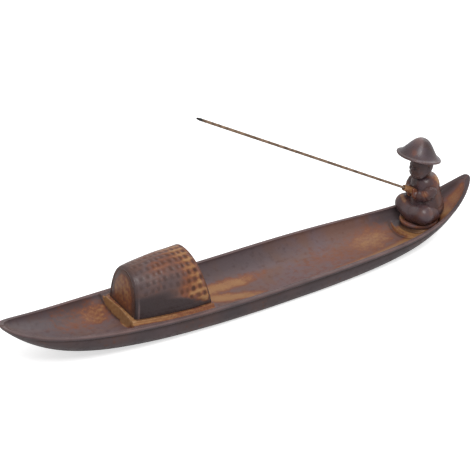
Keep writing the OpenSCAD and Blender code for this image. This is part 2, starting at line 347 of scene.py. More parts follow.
def add_piece(name, parts, body, nodes, material, traits):
    """One object from parts, a list of (vertices in mm, faces), with its traits as attributes of its
    points."""
    faces, start = [], 0
    for part_vertices, part_faces in parts:
        faces += [[start + k for k in face] for face in part_faces]
        start += len(part_vertices)
    mesh = bpy.data.meshes.new(name)
    mesh.from_pydata((all_points(parts) * MM).tolist(), [], faces)
    for trait, values in traits.items():
        layer = mesh.attributes.new(trait, "FLOAT", "POINT")
        layer.data.foreach_set("value", np.array(np.broadcast_to(values, start), dtype=np.float32))
    build = bmesh.new()
    build.from_mesh(mesh)
    bmesh.ops.remove_doubles(build, verts=build.verts, dist=WELD * MM)
    bmesh.ops.recalc_face_normals(build, faces=build.faces)
    build.to_mesh(mesh)
    build.free()
    mesh.shade_smooth()
    mesh.materials.append(material)
    piece = bpy.data.objects.new(name, mesh)
    bpy.context.scene.collection.objects.link(piece)
    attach(piece, body)
    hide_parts(*nodes)


def add_glazed(name, parts, node, slot_name, material, ochre, dark, pale=0, cool=0):
    """One clay piece of the boat, with the four traits that its glaze reads."""
    add_piece(name, parts, BOAT, [node], material,
              dict(zip(GLAZE_TRAITS, (ochre, dark, pale, cool))))


def sizes(group):
    """The settings of a group as plain numbers, with its lengths in millimetres."""
    found = {}
    for key, prop in group.bl_rna.properties.items():
        if prop.type == "FLOAT" and not prop.is_array:
            value = getattr(group, key)
            found[key] = value / MM if prop.unit == "LENGTH" else value
    return types.SimpleNamespace(**found)


def all_points(parts):
    """The vertices of all the parts of a piece, one after another."""
    return np.concatenate([vertices for vertices, faces in parts])


# ---------------------------------------------------------------- hull

HALF_LENGTH = (HULL_HIGH[0] - HULL_LOW[0]) / 2
HALF_BREADTH = HULL_HIGH[1]
TIP_HALF_BREADTH = 0.6


def half_breadth(t):
    """Half the breadth over the rim at a share t of the half length: a blunter curve at the bow than at the
    stern."""
    bow = np.clip(1 - np.abs(t) ** 2.6, 0, 1) ** 0.5
    stern = np.clip(1 - np.abs(t) ** 2.74, 0, 1) ** 0.6
    return TIP_HALF_BREADTH + (HALF_BREADTH - TIP_HALF_BREADTH) * np.where(t < 0, bow, stern)


def rim(t, h):
    """Height of the rim: an even sheer with a quick upsweep at each tip."""
    bow = h.bow_rise * (0.52 * t ** 2 + 0.48 * t ** 8)
    stern = h.stern_rise * (1.13 * np.abs(t) ** 7 - 0.13 * t ** 2)
    return h.rim_height + np.where(t < 0, bow, stern)


def keel_depth(t, h):
    """Depth from the rim to the keel, from the whole depth amidships to the tips' thickness."""
    bow = 1 - np.abs(t) ** 7
    stern = np.clip(1 - np.abs(t) ** 2.43, 0, 1) ** 0.68
    full = h.rim_height + h.bilge_sink - h.tip_thickness
    return h.tip_thickness + full * np.where(t < 0, bow, stern)


def floor_depth(t, h):
    """Depth from the rim to the trough's floor."""
    bow = np.clip(1 - t ** 4, 0, 1) ** 0.5
    stern = np.clip(1 - np.abs(t) ** 3, 0, 1) ** 0.6
    return (h.rim_height - h.floor_thickness) * np.where(t < 0, bow, stern)


def trough_half(x, h):
    """Half the breadth of the trough, which is the rim's own curve drawn in to the trough's two ends."""
    scale = 1 - h.tip_to_trough / HALF_LENGTH
    return half_breadth(np.clip(x / HALF_LENGTH / scale, -1, 1)) * (1 - h.lip_breadth / HALF_BREADTH)


def canopy_half(s, c):
    """Half the breadth of the canopy at a share s of its length."""
    return mix(c.bow_breadth, c.stern_breadth, s) / 2 + c.side_swell * 4 * s * (1 - s)


def bowed(y, swell):
    """How far a bowed edge has drawn back at a breadth y: one less the height of an ellipse, times its
    swell."""
    return swell * (1 - np.sqrt(np.clip(1 - (y / HALF_BREADTH) ** 2, 0, 1)))


def platform_edges(x, y, c):
    """Distances inside the platform's bow edge, its sides and its stern edge, and the height of its sloping
    top."""
    along = x + c.bow_x
    s = np.clip(along / c.length, -0.03, 1.03)
    ahead = along + c.platform_ledge + 0.2 + 0.07 * y - bowed(y, 0.5)
    beside = canopy_half(s, c) + c.platform_margin - np.abs(y)
    behind = c.length + c.platform_ledge - along
    return ahead, beside, behind, c.platform_height - along * math.tan(c.platform_slope)


def seat_edges(x, y, f):
    """Distances inside the front of the low step, inside the plinth and inside the pad."""
    ahead = x - (f.pad_x - f.pad_diameter / 2 - f.step_margin) - bowed(y, 22)
    away = np.hypot(x - f.pad_x, y)
    return ahead, f.pad_diameter / 2 - f.plinth_inset - away, f.pad_diameter / 2 - away


def trough_floor(x, y, ceiling, h, c, f):
    """Height of the trough: half an ellipse across, filled to the deck round the canopy and to the seat's low
    step, with the canopy's platform and the plinth standing on them, and cut down for the seat pad. The
    second height is that of the half ellipse with the fill alone."""
    k = x / HALF_LENGTH
    end_share = np.abs(k) / (1 - h.tip_to_trough / HALF_LENGTH)
    depth = floor_depth(np.clip(k / (1 - h.tip_to_trough / HALF_LENGTH), -1, 1), h)
    depth = depth + 0.3 * smoothstep(1.0, 0.97, end_share)
    bed = rim(k, h) - depth * np.sqrt(np.clip(1 - (y / trough_half(x, h)) ** 2, 0, 1))
    ahead, beside, behind, plane = platform_edges(x, y, c)
    # Clay smoothed in before the platform, more of it toward the near side, leaves the bow riser a blade.
    nearer = 0.5 * (np.sqrt(y ** 2 + 4) - y)
    fill = (2.0 + 0.42 * nearer) * bell(np.minimum(ahead, 0), -0.6, 6.5)
    bed = bed + np.minimum(fill * smoothstep(8, 3, ahead), np.clip(plane - 0.6 - bed, 0, None))
    # Each step falls away steeply outside its own edges.
    ends = soft_min(ahead, behind, 0.4)
    deck = plane - c.platform_rise - 7 * np.clip(0.15 - ends, 0, None)
    corner = soft_min(ends, beside + 1.2, 3.5)
    platform = plane - 7 * np.clip(0.12 - corner, 0, None) - 2.6 * np.clip(0.3 - beside, 0, None)
    front, plinth, pad = seat_edges(x, y, f)
    step = f.step_height - 5 * np.clip(0.2 - front, 0, None)
    drum = f.plinth_height - 5 * np.clip(0.1 - plinth, 0, None)
    z = soft_max(soft_max(bed, deck, 0.5), soft_max(step, drum, 0.4), 0.5)
    z = np.minimum(z, ceiling)
    z = soft_min(z, f.plinth_height + 2.5 * np.clip(-0.3 - pad, 0, None), 0.3)
    return soft_max(z, platform, 0.35), bed


WALL, RIM, BED = 0, 1, 2

# The band along the rim, from under its outer edge to the trough: share of its breadth, millimetres inward,
# and height, in the order of the profile.
BAND_SHARE = np.array([0, 0, 0, 0, 0, 0, 0, 0.30, 0.55, 1, 1, 1, 1, 1])
BAND_IN = np.array([0.62, 0.34, 0.10, 0.0, 0.0, 0.08, 0.34, 0.2, 0.1, -0.95, -0.66, -0.40, -0.16, 0.0])
BAND_UP = np.array([-1.85, -1.80, -1.55, -1.2, -0.62, -0.26, -0.04, 0.0, -0.03, -0.13, 0.0, 0.09, 0.0, -0.22])


def hull_stations(count):
    """Distances along the hull, closer together at the steps and the tips: the inverse of a running
    density."""
    x = np.linspace(-HALF_LENGTH, HALF_LENGTH, 6001)
    # The platform's bow edge and its stern edge, the platform, the seat's low step, the seat and the tips.
    density = 1 + 7 * bell(x, -83.3, 1.5) + 5 * bell(x, -38, 1.5)
    density += 0.5 * between(x, -92, -84, -38, -32) + 2.6 * between(x, 97, 99, 104, 108)
    density += 1.2 * between(x, 96, 100, 126, 134) + 6 * smoothstep(144, 150, np.abs(x))
    running = np.concatenate([[0], np.cumsum((density[1:] + density[:-1]) / 2)])
    return np.interp(np.linspace(0, running[-1], count), running, x)


def hull_surface(h, c, f, count=540, wall=18, bed=54):
    """Rings across the hull. Each runs up the wall, a superellipse by its own polar radius, over the rim's
    band, and down the trough, whose height is trough_floor(x, y), and comes back mirrored. Both tips draw
    together as a quarter circle. With the rings come each column's region and each point's height over the
    trough's bed."""
    x = hull_stations(count)[:, None]
    t = x / HALF_LENGTH
    tip_round = 1.3
    gather = np.sqrt(np.clip(1 - ((np.abs(x) - HALF_LENGTH + tip_round) / tip_round).clip(0, 1) ** 2, 0, 1))
    gather = np.maximum(gather, 0.02)
    half, top, depth = half_breadth(t), rim(t, h), keel_depth(t, h)
    inner = np.minimum(trough_half(x, h), half - 0.05)
    slim = np.clip(depth / 5, 0.12, 1) * np.clip((half - inner) / 1.8, 0.15, 1)

    squareness = 3.3 - 1.7 * np.abs(t) ** 3
    q = np.linspace(np.pi / 2, 0.09, wall)[None]
    reach = (np.cos(q) / (half - 0.5 * slim)) ** squareness + (np.sin(q) / depth) ** squareness
    reach = reach ** (-1 / squareness)
    y = reach * np.cos(q)
    z = top - reach * np.sin(q)
    z = np.where(z < 0.6, soft_max(z, np.zeros_like(z), 0.5), z)
    z = np.minimum(z, top - 1.9 * slim)

    band_y = np.maximum(half - BAND_SHARE * (half - inner) - BAND_IN * slim, inner)
    band_z = top + BAND_UP * slim

    # Columns crowd at the trough's edge and at the platform's.
    s = np.clip((x + c.bow_x) / c.length, 0, 1)
    edge = np.clip((canopy_half(s, c) + c.platform_margin) / inner, 0.35, 0.93)
    outer = 1 - (1 - edge - 0.5 / inner) * np.linspace(0, 1, 15)[None, 1:-1] ** 1.6
    riser = edge + np.linspace(0.5, -0.4, 9)[None] / inner
    rest = (edge - 0.4 / inner) * np.linspace(1, 0, bed - 21)[None, 1:]
    bed_y = inner * np.concatenate([outer, riser, rest], 1)
    bed_z, plain_bed = trough_floor(x, bed_y, top - 0.25 * slim, h, c, f)

    ys = np.concatenate([y, band_y, bed_y], 1) * gather
    zs = np.concatenate([z, band_z, bed_z], 1)
    middle = top - h.tip_thickness * 0.5
    zs = middle + (zs - middle) * gather
    columns = np.arange(ys.shape[1])
    there_and_back = np.concatenate([columns, columns[-2:0:-1]])
    rings = np.stack([np.broadcast_to(x, ys.shape), ys, zs], -1)[:, there_and_back]
    rings[:, columns.size:, 1] *= -1
    region = np.repeat([WALL, RIM, BED], [wall, BAND_UP.size, bed])
    above = np.concatenate([np.zeros((count, wall + BAND_UP.size)), bed_z - plain_bed], 1)
    return rings, region[there_and_back], above[:, there_and_back]


def streak_ochre(points, blotch):
    """Two comets of ochre that run out from under the canopy, and blur along the near side of the trough."""
    far_comet = 0.88 * patch(points, (-18, 6.4), (26, 4.7), 0.0, 0.75, 31, 0.22)
    near_comet = 0.92 * patch(points, (-19.5, -4.8), (21, 5.0), -0.36, 0.75, 33, 0.22)
    blur = 0.24 * patch(points, (22, -7), (44, 9), 0, 0.9, 35)
    return highest(np.maximum(far_comet, near_comet) * mix(0.80, 1, blotch), blur)


def floor_ochre(points, blotch, fleck):
    """A rusty floor before the seat, and a mottled deck before the canopy."""
    stern_floor = highest(0.86 * patch(points, (82, 3.5), (17, 10.5), 0.1, 0.90, 41, 0.28),
                          0.50 * patch(points, (64, 0), (40, 13), 0, 0.9, 43, 0.4))
    bow_floor = highest(0.78 * patch(points, (-93.5, 10), (10, 7), 0.1, 0.8, 45, 0.45),
                        0.46 * patch(points, (-104, 7), (17, 9), 0, 0.9, 47, 0.5))
    return highest(stern_floor * mix(0.62, 1, 0.5 * (blotch + fleck)), bow_floor * mix(0.55, 1, fleck))


def hull_traits(points, region, above, h, c, f):
    """Where the glaze broke to ochre, pooled dark in creases, thinned pale along the lip and fired to a cool
    slate, as shares from 0 to 1, with painted shade added to the dark at the creases, under the lip and round
    the pad, and to the slate on the step's far half; above is the height over the trough's own curve."""
    x, y, z = points.T
    t = np.clip(x / HALF_LENGTH, -1, 1)
    under_rim = z - rim(t, h)
    wall, band, bed = region == WALL, region == RIM, region == BED
    blotch, fleck = blotches(points, 9, 21), blotches(points, 2.2, 22)
    across = y / np.maximum(half_breadth(t), 1)
    ahead, beside, behind, _ = platform_edges(x, y, c)
    front, plinth, pad = seat_edges(x, y, f)

    # The platform's bow riser is a blade of ochre, and its near ledge keeps a line of it.
    outset = 0.9 + 1.0 * smoothstep(2, -9, y)
    riser = between(ahead, -outset - 0.8, -outset, 0.3, 0.9) * smoothstep(-2.4, -1.2, beside)
    riser *= highest(smoothstep(0.1, 0.5, above), smoothstep(0, -5, y))
    ledge = smoothstep(0.0, 0.5, ahead) * smoothstep(-0.5, 0.5, behind)
    ledge_near = smoothstep(-50, -76, x) * smoothstep(4, -6, y)
    ledge_ochre = ledge * smoothstep(-2.4, -0.6, beside) * mix(0.62, 0.95, ledge_near) * mix(0.7, 1, fleck)
    # The seat's low step: an ochre riser under a mauve top that warms to the near side.
    seat_riser = between(front, -0.9, -0.4, 0.5, 1.1) * smoothstep(0.2, 0.8, above)
    step_top = smoothstep(0.4, 1.2, front) * smoothstep(0.3, -0.3, plinth) * smoothstep(112, 109, x)
    # The stern's cup: ochre on its floor and near side, and painted shade darkening its far wall.
    cup = smoothstep(106, 114, x) * smoothstep(-0.2, -1.6, under_rim)
    cup_ochre = 0.80 * cup * smoothstep(0.55, -0.05, across) * mix(0.6, 1, blotch)
    cup_ochre *= smoothstep(0.4, -1.2, pad)
    # Ochre along the near inner edge, from the streaks to the seat, is broken glaze and also a painted
    # highlight.
    edge = between(y + half_breadth(t), 3, 8, 10, 18) * bed * between(x, -36, -30, 110, 118)
    ochre = highest(streak_ochre(points, blotch), floor_ochre(points, blotch, fleck),
                    riser * mix(0.85, 1.1, fleck), ledge_ochre, seat_riser * mix(0.6, 0.85, fleck))
    ochre = highest(ochre * (1 - step_top), step_top * smoothstep(7.5, 1.5, y) * mix(0.72, 0.95, fleck),
                    cup_ochre, edge * mix(0.30, 0.86, smoothstep(10, 75, x)))
    ochre = ochre * bed + 0.26 * wall * blotches(points, 22, 51) * fleck

    # Pooled glaze and painted shade darken the foot of each riser and the crease beside the platform's ledge;
    # painted shadow darkens the step before the plinth, the ring round the pad, the cup's far wall and the
    # wall under the lip; and the whole wall is slightly darker.
    foot = between(ahead, -2.4, -0.9, -0.7, -0.2) * smoothstep(1.4, 0.2, above)
    dark = highest(
        0.8 * foot * smoothstep(-88, -85, x) * smoothstep(-8, 3, y),
        0.75 * between(beside, 0.0, 0.7, 1.1, 1.9) * ledge * (beside > 0.9),
        0.6 * between(front, -2.6, -1.2, -0.8, -0.2) * smoothstep(14, 10, np.abs(y)),
        0.85 * smoothstep(-1.5, -0.5, plinth) * (front > 0.5) * smoothstep(-12, -6, y),
        0.55 * cup * smoothstep(0.05, 0.5, across),
        0.85 * smoothstep(0.5, 0.2, np.abs(pad + 0.15))) * bed
    dark = highest(dark, 0.75 * bell(under_rim, -2.1, 0.5) * wall, 0.14 * wall)
    pale = band * smoothstep(-1.3, -0.1, under_rim) * mix(0.45, 1.0, blotches(points, 14, 49))
    pale *= 1 - 0.7 * smoothstep(118, 132, x) - 0.5 * smoothstep(-112, -126, x)
    # The wall and the rim are slate, and so are the trough's far side and the bow; the far half of the step
    # is slate too, partly its glaze and partly painted shade under the figure.
    far_side = smoothstep(0.25, 0.75, across) * smoothstep(70, 0, x) + 0.7 * smoothstep(-96, -118, x)
    cool = highest((wall | band) * mix(0.65, 1.0, blotches(points, 18, 53)),
                   bed * 0.65 * np.clip(far_side, 0, 1),
                   bed * 0.8 * step_top * smoothstep(1.5, 7.5, y),
                   bed * 0.75 * smoothstep(84, 100, x) * smoothstep(0.3, 0.75, across))
    return ochre, np.clip(dark, 0, 1), pale, cool


# ---------------------------------------------------------------- canopy

ARCH_ROUNDNESS = 2.2


def on_platform(points, c):
    """Points from the canopy's own frame, on its sloping platform, to the row frame."""
    return pitched(points, c.platform_slope) + [-c.bow_x, 0, c.platform_height]


def arch(s, a, inset, c):
    """A point of the tapering arch: a superellipse across at angle a, blended from the bow end to the stern
    end by s, each end leaning with its height; inset draws it in all round."""
    half = canopy_half(s, c) - inset
    height = mix(c.bow_height, c.stern_height, s) + c.ridge_swell * 4 * s * (1 - s) - inset
    lean = mix(c.bow_lean, -c.stern_lean, s)
    n = ARCH_ROUNDNESS
    reach = (np.abs(np.cos(a) / half) ** n + np.abs(np.sin(a) / height) ** n) ** (-1 / n)
    across, up = reach * np.cos(a), reach * np.sin(a)
    return np.stack([s * c.length + lean * up / height, across, up], -1)


def weave(u, v):
    """A plain weave at u crossings along and v rows across: strands run along every row, and dip into a
    squarish pit at each crossing, set off by half a crossing from row to row. Gives the height and the pits,
    from 0 to 1."""
    row = np.floor(v)
    across_row = np.abs(v - row - 0.5)
    shifted = u + 0.5 * np.mod(row, 2)
    crossing = np.floor(shifted)
    across_pit = np.abs(shifted - crossing - 0.5)
    uneven = 0.5 + 0.5 * np.sin(crossing * 12.99 + row * 78.23) * np.sin(crossing * 3.1 - row * 5.7)
    pit = smoothstep(0.46, 0.08, across_pit) * smoothstep(0.48, 0.08, across_row) * mix(0.45, 1.0, uneven)
    crown = 0.25 * (1 - np.cos(2 * np.pi * np.minimum(across_row, 0.5) * 2)) / 2
    return 1 - 0.75 * pit - 0.25 * smoothstep(0.40, 0.5, across_row) - crown * (1 - pit), pit


def canopy_roof_surface(c, lengthwise=150, arch_count=270):
    """The roof as a closed profile carried over the arch: along the outside, round the stern edge, back
    inside and round the bow edge. The outside carries the weave, sunk into it by the relief."""
    s = np.linspace(0, 1, lengthwise)
    edge = np.linspace(0, np.pi, 9)[1:-1]
    r = c.thickness / 2
    soft_bow, soft_stern = 1.1 * r, 0.6 * r
    outer_s = (soft_bow + s * (c.length - soft_bow - soft_stern)) / c.length
    inner_s = outer_s[::-2]
    stern = 1 - soft_stern / c.length * (1 - np.sin(edge))
    # The bow end is a flat face, flush with the wall, with a round outer corner.
    face, corner_depth = 0.12, 1.2
    corner = np.linspace(0, np.pi / 2, 7)[1:-1]
    bow = np.concatenate([np.linspace(0.30, face, 5), face + (soft_bow - face) * (1 - np.cos(corner))])
    bow_depth = np.concatenate([np.linspace(2 * r, corner_depth, 5), corner_depth * (1 - np.sin(corner))])
    run = np.concatenate([outer_s, stern, inner_s, bow / c.length])[None]
    depth = np.concatenate([0 * s, r * (1 - np.cos(edge)), 2 * r + 0 * inner_s, bow_depth])[None]
    a = np.linspace(0, np.pi, arch_count)[:, None]
    steps = np.linalg.norm(np.diff(arch(0.5, a[:, 0], 0, c), axis=0), axis=1)
    girth = np.concatenate([[0], np.cumsum(steps)])[:, None]
    v = (girth - girth[-1] / 2) / c.cane_width + 0.1 + 0.07 * np.sin(run * 9 + 2 * a)
    u = run * c.length / c.cane_length + 0.16 * np.sin(a * 5) + 0.10 * np.sin(run * 17 + 3 * a)
    height, pit = weave(u, v)
    outside = smoothstep(0.35, 0.0, depth) * between(run, 0.01, 0.05, 0.965, 1)
    outside = outside * between(girth, 0.5, 3.0, girth[-1] - 3.0, girth[-1] - 0.5)
    # The weave is plain toward the stern, and worn smooth low on the bow end.
    wear_and_sheen = smoothstep(0.05, 0.7, run * 0.85 + 0.40 * np.sin(a) ** 2)
    middle = bell(np.abs(a - np.pi / 2), 0.62, 0.30) * smoothstep(0.95, 0.60, run)
    sink = outside * c.relief * (1 - height) * mix(0.35, 1, wear_and_sheen) * (1 - 0.4 * middle)
    # A shallow hand-shaped unevenness keeps the sheen from running dead straight.
    dents = 1 + np.sin(a * 7 + 3 * run) * np.sin(run * 11 + a * 2)
    sink = sink + 0.12 * dents * (depth < 0.35)
    rings = on_platform(arch(run + 0 * a, a + 0 * run, depth + sink, c), c)
    return rings, pit, outside, run, a, depth, v


def canopy_wall_surface(c, rows=60, columns=120):
    """The wall that closes the bow end: a disc drawn to the arch's inside, bulging outward as a flat dome,
    with its back flat; rings from the middle of the front, over the edge, to the middle of the back."""
    share = np.concatenate([np.linspace(0.02, 1, rows), np.linspace(1, 0.02, rows // 2)])[:, None]
    middle = 0.42 * c.bow_height
    a = circle(columns)
    half, height = c.bow_breadth / 2 - c.thickness, c.bow_height - c.thickness

    def in_arch(reach):
        """Whether points that far from the wall's middle lie under the arch and above its flat foot."""
        y, z = np.cos(a) * reach, middle + np.sin(a) * reach
        return (np.abs(y / half) ** ARCH_ROUNDNESS + np.abs(z / height) ** ARCH_ROUNDNESS < 1) & (z > 0)

    # The wall reaches into the roof, so that no gap shows between them.
    bite = 0.6
    reach = (edge_of(in_arch, 40, a.shape, 30) + bite) * share
    y, z = np.cos(a) * reach, np.maximum(middle + np.sin(a) * reach, 0.0)
    front, dome, back = 0.25, 0.75, 3.15
    x = np.where(np.arange(len(share))[:, None] < rows, front - dome * (1 - share ** 2.6), back)
    return on_platform(np.stack([x + c.bow_lean * z / c.bow_height, y, z], -1), c), share


# ---------------------------------------------------------------- fisherman

def on_seat(points, f):
    """Points from the seat's frame, its origin in the middle of the pad's top, to the row frame."""
    return points + np.array([f.pad_x + f.sitting_back, 0, f.plinth_height + f.pad_thickness])


# Joints of the figure's far limbs, and middles of its far hand, grip, head and hat, in the seat's frame.
SHOULDER = np.array([-0.8, 7.25, 22.6])
ELBOW = np.array([-4.0, 7.85, 17.2])
WRIST = np.array([-6.9, 3.2, 17.0])
KNEE = np.array([-7.0, 8.5, 6.8])
HIP = np.array([2.2, 4.0, 5.35])
FOOT = np.array([-9.0, -1.5, 4.35])
HANDS = np.array([-8.1, 2.3, 17.1])
GRIP = np.array([-6.3, 0.0, 17.6])
HEAD = np.array([-3.8, 0.0, 34.1])
HAT = np.array([-6.2, 0.0, 41.3])
HIPS_X = 2.2
NECK_HEIGHT = 28.1
TORSO_LEAN = math.radians(6.5)
MIRROR = np.array([1.0, -1.0, 1.0])
THIGH, KNEE_END, FAR_ANKLE, NEAR_ANKLE = 5.7, 5.6, 4.1, 3.7  # radii


def torso_radius(s):
    """Radius of the robe at a share s of its height: wide at the hips, round at the shoulders, slim at the
    neck."""
    hips = 11 - 3.2 * np.clip(1 - s / 0.2, 0, 1) ** 2
    waist = mix(8.75, 11, (1 + np.cos(np.pi * np.clip((s - 0.2) / 0.52, 0, 1))) / 2)
    neck = 3.4 + 5.35 * np.sqrt(np.clip(1 - ((s - 0.72) / 0.28) ** 2, 0, 1))
    return np.where(s < 0.2, hips, np.where(s < 0.72, waist, neck))


def torso_surface(f, rows=110, columns=160):
    """The robe: rings about a leaning axis, of radius torso_radius(s), with soft folds that run down from the
    shoulders, a sash drawn in above the lap and the collar's edge crossing over the chest. With the rings
    comes how deep the sash and the collar are drawn in."""
    s = np.linspace(0, 1, rows)[:, None] ** 0.9
    a = circle(columns)
    folds = 0.16 * np.sin(7 * a + 2.2 * np.sin(3 * s + a)) * between(s, 0.08, 0.3, 0.45, 0.8)
    sash = -0.30 * bell(s, 0.30, 0.022)
    front = 6.5 * np.angle(np.exp(1j * (a - np.pi)))
    slant = (0.92 - s) * 11
    collar = -0.30 * bell(front, slant, 0.9) * smoothstep(0.4, 0.5, s)
    collar += -0.30 * bell(front, -slant, 0.9) * smoothstep(0.6, 0.7, s)
    radius = torso_radius(s) + folds + sash + collar * smoothstep(1.0, 0.8, s) - 0.15
    points = np.stack([radius * np.cos(a) * 0.985, radius * np.sin(a), s * NECK_HEIGHT + 0 * a], -1)
    points = pitched(points, -TORSO_LEAN) + [HIPS_X, 0, 0]
    points[..., 2] = np.maximum(points[..., 2], 0.02)
    return on_seat(points, f), sash + collar


def limbs(p):
    """Distances to the far and the near thigh, and to the far and the near shin."""
    return (capsule(p, KNEE, HIP, THIGH, THIGH), capsule(p, KNEE * MIRROR, HIP * MIRROR, THIGH, THIGH),
            capsule(p, KNEE, FOOT, KNEE_END, FAR_ANKLE),
            capsule(p, KNEE * MIRROR, FOOT * MIRROR, KNEE_END, NEAR_ANKLE))


def legs_distance(p):
    """Distance to the crossed legs, below 0 inside: two thighs and two shins melted together, with a hem over
    them, above the pad."""
    thigh_far, thigh_near, shin_far, shin_near = limbs(p)
    lap = ellipsoid(p, (-2.0, 0, 5.2), (9.8, 11.0, 5.4))
    skirt = ellipsoid(p, (-1.0, 0, 2.6), (10.2, 10.6, 3.6))
    crossed = soft_min(soft_min(np.minimum(thigh_far, thigh_near), shin_far, 1.2), shin_near, 1.2)
    return soft_max(soft_min(crossed, soft_min(lap, skirt, 1.5), 2.4), 0.02 - p[..., 2], 0.35)


def legs_crease(p):
    """How close a point is to the fold between a thigh and a shin or between both shins, from 0 to 1."""
    thigh_far, thigh_near, shin_far, shin_near = limbs(p)
    fold = np.minimum(np.abs(thigh_far - shin_far), np.abs(thigh_near - shin_near))
    fold = fold + 4 * smoothstep(0, 2.5, np.minimum(shin_far, shin_near))
    return np.maximum(np.exp(-fold / 0.6), np.exp(-np.abs(shin_far - shin_near) / 0.5))


# The cuff's turned mouth: how far beyond the wrist, and its radius.
CUFF = np.array([[0.02, 3.62], [0.05, 3.3], [-0.25, 2.95], [-0.9, 2.6], [-1.6, 1.6]])
CUFF_SHARE = 1.05


def sleeve_surface(side, f, rows=90, columns=56):
    """A wide sleeve: a round profile carried along a bent path from shoulder to wrist, gathered at the elbow
    in soft rings, flaring at the cuff and turning in to a shallow mouth round the hand. With the rings comes
    each one's share of the way."""
    turn = np.array([1.0, side, 1.0])
    s = np.linspace(0, 1, rows)[:, None]
    shoulder, elbow, wrist = SHOULDER * turn, ELBOW * turn, WRIST * turn
    knot = elbow * 1.25 - (shoulder + wrist) * 0.125
    path = (1 - s) ** 2 * shoulder + 2 * s * (1 - s) * knot + s ** 2 * wrist
    s = s[:, 0]
    radius = mix(3.65, 3.45, s) + 0.35 * bell(s, 0.42, 0.2) + 0.3 * smoothstep(0.75, 1, s)
    radius += 0.10 * np.sin(s * 2 * np.pi * 6) * bell(s, 0.5, 0.16)
    radius *= np.sqrt(np.clip(1 - (1 - s / 0.14).clip(0, 1) ** 2, 0.003, 1))
    forward = (path[-1] - path[-2]) / np.linalg.norm(path[-1] - path[-2])
    path = np.concatenate([path, path[-1] + CUFF[:, :1] * forward])
    radii = np.concatenate([radius, CUFF[:, 1]])
    # A hair's drift forward keeps the path's direction defined where the cuff turns back.
    path = path + 1e-6 * np.arange(len(path))[:, None] * forward
    rings = carried_profile(path, np.stack([radii, radii * 1.06], -1), np.array([0.0, 0.0, 1.0]), columns)
    return on_seat(rings, f), np.concatenate([s, np.full(len(CUFF), CUFF_SHARE)])[:, None]


def fist_distance(p, side):
    """Distance to one fist, below 0 inside: a ball of a palm with four fingers wrapped round the grip."""
    rod = rod_direction(math.radians(ROD_RISE))
    body = ellipsoid(p, HANDS * np.array([1, side, 1]), (2.9, 2.3, 2.7))
    for k in range(4):
        at = GRIP + rod * (0.9 + 1.25 * k) + np.array([0.0, side * 1.1, 0.0])
        knuckle, fingertip = at + np.array([0, side * 0.9, 1.0]), at + np.array([0, side * 0.9, -1.5])
        body = soft_min(body, capsule(p, knuckle, fingertip, 0.95, 0.85), 0.3)
    return body


def rod_direction(rise):
    """Unit vector along the rod, toward the bow and upward."""
    return np.array([-math.cos(rise), 0.0, math.sin(rise)])


def head_distance(p):
    """Distance to the head, below 0 inside: a round skull and cheeks, brows over closed eyes, a straight
    nose, two lips, ears, a moustache and a short beard. The face is a plain one on even proportions."""
    q = p - HEAD
    even = np.stack([q[..., 0], np.abs(q[..., 1]), q[..., 2]], -1)
    skull = ellipsoid(even, (0.2, 0, 0.3), (6.8, 6.5, 6.7))
    jaw = ellipsoid(even, (-1.3, 0, -2.3), (5.0, 5.4, 4.7))
    brow = capsule(even, (-6.3, 0.7, 1.15), (-5.2, 3.6, 0.95), 0.5, 0.4)
    body = soft_min(soft_min(skull, jaw, 1.6), brow, 0.9)
    socket = ellipsoid(even, (-6.35, 2.2, 0.05), (1.0, 1.45, 0.85))
    lid = ellipsoid(even, (-5.05, 2.15, -0.05), (0.95, 1.15, 0.62))
    nose = capsule(even, (-6.0, 0, 0.7), (-6.95, 0, -1.75), 0.42, 0.68)
    nose = soft_min(nose, ellipsoid(even, (-6.35, 0.75, -1.9), (0.62, 0.55, 0.5)), 0.3)
    cheek = ellipsoid(even, (-4.6, 2.9, -1.6), (1.3, 1.5, 1.3))
    lips = np.minimum(capsule(even, (-6.35, 0, -3.25), (-5.9, 1.25, -3.2), 0.36, 0.2),
                      capsule(even, (-6.3, 0, -3.85), (-5.95, 0.95, -3.8), 0.4, 0.22))
    ear = ellipsoid(even, (0.5, 6.45, -0.6), (1.2, 0.65, 1.8))
    body = soft_max(body, -socket, 0.7)
    for feature, blend in ((lid, 0.2), (nose, 0.45), (cheek, 0.9), (lips, 0.25), (ear, 0.4)):
        body = soft_min(body, feature, blend)
    strand = 0.10 * np.sin(q[..., 1] * 5.2 + 1.3 * np.sin(q[..., 2] * 1.7))
    strand = strand * smoothstep(-3.2, -4.6, q[..., 2])
    beard = soft_min(ellipsoid(q, (-2.3, 0, -4.2), (4.3, 4.9, 2.9)),
                     capsule(q, (-3.2, 0, -4.4), (-4.6, 0, -5.6), 2.6, 1.5), 1.2) + strand
    whisker = capsule(even, (-0.6, 5.7, -1.2), (-3.2, 3.6, -4.2), 1.0, 1.7) + strand
    moustache = capsule(even, (-6.45, 0.25, -2.75), (-5.4, 2.5, -3.9), 0.42, 0.24) + 0.4 * strand
    return soft_min(soft_min(body, soft_min(beard, whisker, 1.2), 0.6), moustache, 0.2)


HAT_CROWN_ROWS = 70


